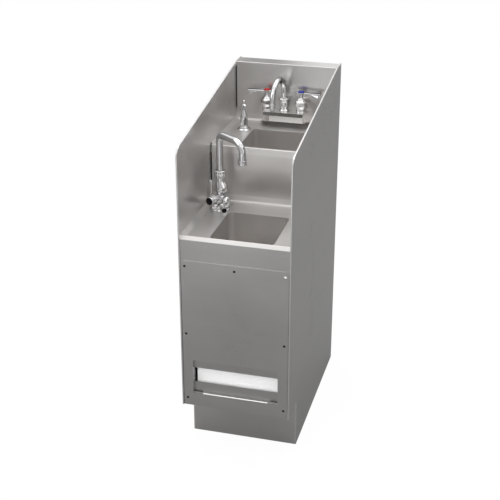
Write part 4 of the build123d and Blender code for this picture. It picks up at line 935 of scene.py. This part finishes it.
class SINK_OT_soap(bpy.types.Operator):
    """Turns the soap dispenser's flange, its bottle-shaped body and its pump head, and tapers its drooping nozzle"""

    bl_idname = "sink.soap"
    bl_label = "Soap dispenser"

    def execute(self, context):
        chrome = finishes["faucet_chrome"]
        foot = middle_of("soap_flange")
        flange = profile([(11, 0), (20, 0), (20, 1.4), (19.2, 2.4), (16.4, 3.4), (14.2, 5), (11, 5)], 0.6, 0.8, 3)
        piece("soap_collar", [at(turned(flange), foot)], chrome, "soap_flange", sharp=50)
        body = profile([
            (3.6, -38), (11, -38), (11, 0), (13.4, 0), (13.4, 2.6), (12.2, 4.2), (11.4, 6.4), (10.6, 10), (10.2, 24),
            (9.8, 33), (9.0, 38), (7.2, 43), (5.6, 47.6), (4.9, 50.4), (5.6, 51.4), (5.6, 53.2), (4.8, 54),
            (3.6, 54)], 0.8, 1.0, 3)
        piece("soap_post", [at(turned(body), foot + (0, 0, 5))], chrome, "soap_body", sharp=40)
        top = box_of("soap_pump_head")[1][2] - 23
        head = profile([
            (0.01, -33), (3.1, -33), (3.1, 0), (4.0, 0.4), (5.2, 2.4), (7.6, 4.2), (8.0, 5.2), (8.0, 6.8), (6.4, 8.2),
            (4.0, 10.0), (2.8, 12.4), (2.6, 13.8), (3.6, 15.2), (4.3, 17), (4.4, 18.6), (3.8, 20.6), (2.4, 22.2),
            (0.01, 23)], 0.6, 0.6, 3)
        path = route([(0, 0, 5.4), (0, -20, 6.0), (0, -33.6, 4.6)], (40,), 0.8)
        radius = np.interp(np.linspace(0, 1, len(path)), [0, 0.3, 0.86, 0.9, 1], [3.8, 3.2, 2.6, 2.9, 2.8])
        tube, closed = pipe(path, radius, (1, 0, 0), 28)
        mouth = tube[-1:].mean(axis=1, keepdims=True)
        tube = np.concatenate([tube, mouth + (tube[-1:] - mouth) * 0.7, mouth + (tube[-1:] - mouth) * 0.66 + (0, 3, 0)])
        seat = (*foot[:2], top)
        piece("pump_head", [at(turned(head, 48), seat), at((tube, closed), seat)], chrome, "soap_pump_head", sharp=40)
        return {"FINISHED"}


class SINK_PT_panel(bpy.types.Panel):
    """Lists the steps that dress the station"""

    bl_label = "Sink Station"
    bl_idname = "SINK_PT_panel"
    bl_space_type = "VIEW_3D"
    bl_region_type = "UI"
    bl_category = "Sink Station"

    def draw(self, context):
        for step in STEPS:
            self.layout.operator(step.bl_idname)


SETTINGS = {"sink_stage": StageSettings, "sink_steel": SteelSettings, "sink_towels": TowelSettings,
            "sink_sizes": SizeSettings}
STEPS = (SINK_OT_stage, SINK_OT_sheets, SINK_OT_towels, SINK_OT_screws, SINK_OT_gap_shadows, SINK_OT_edges, SINK_OT_valves,
         SINK_OT_gooseneck, SINK_OT_deck_faucet, SINK_OT_deck_handles, SINK_OT_soap)


def register():
    for group in SETTINGS.values():
        bpy.utils.register_class(group)
    for name, group in SETTINGS.items():
        setattr(bpy.types.Scene, name, PointerProperty(type=group))
    for step in STEPS:
        bpy.utils.register_class(step)
    bpy.utils.register_class(SINK_PT_panel)


def unregister():
    bpy.utils.unregister_class(SINK_PT_panel)
    for step in reversed(STEPS):
        bpy.utils.unregister_class(step)
    for name in SETTINGS:
        delattr(bpy.types.Scene, name)
    for group in reversed(SETTINGS.values()):
        bpy.utils.unregister_class(group)


def main():
    """Registers the add-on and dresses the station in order."""
    register()
    for step in STEPS:
        family, verb = step.bl_idname.split(".")
        getattr(getattr(bpy.ops, family), verb)()


if __name__ == "__main__":
    main()
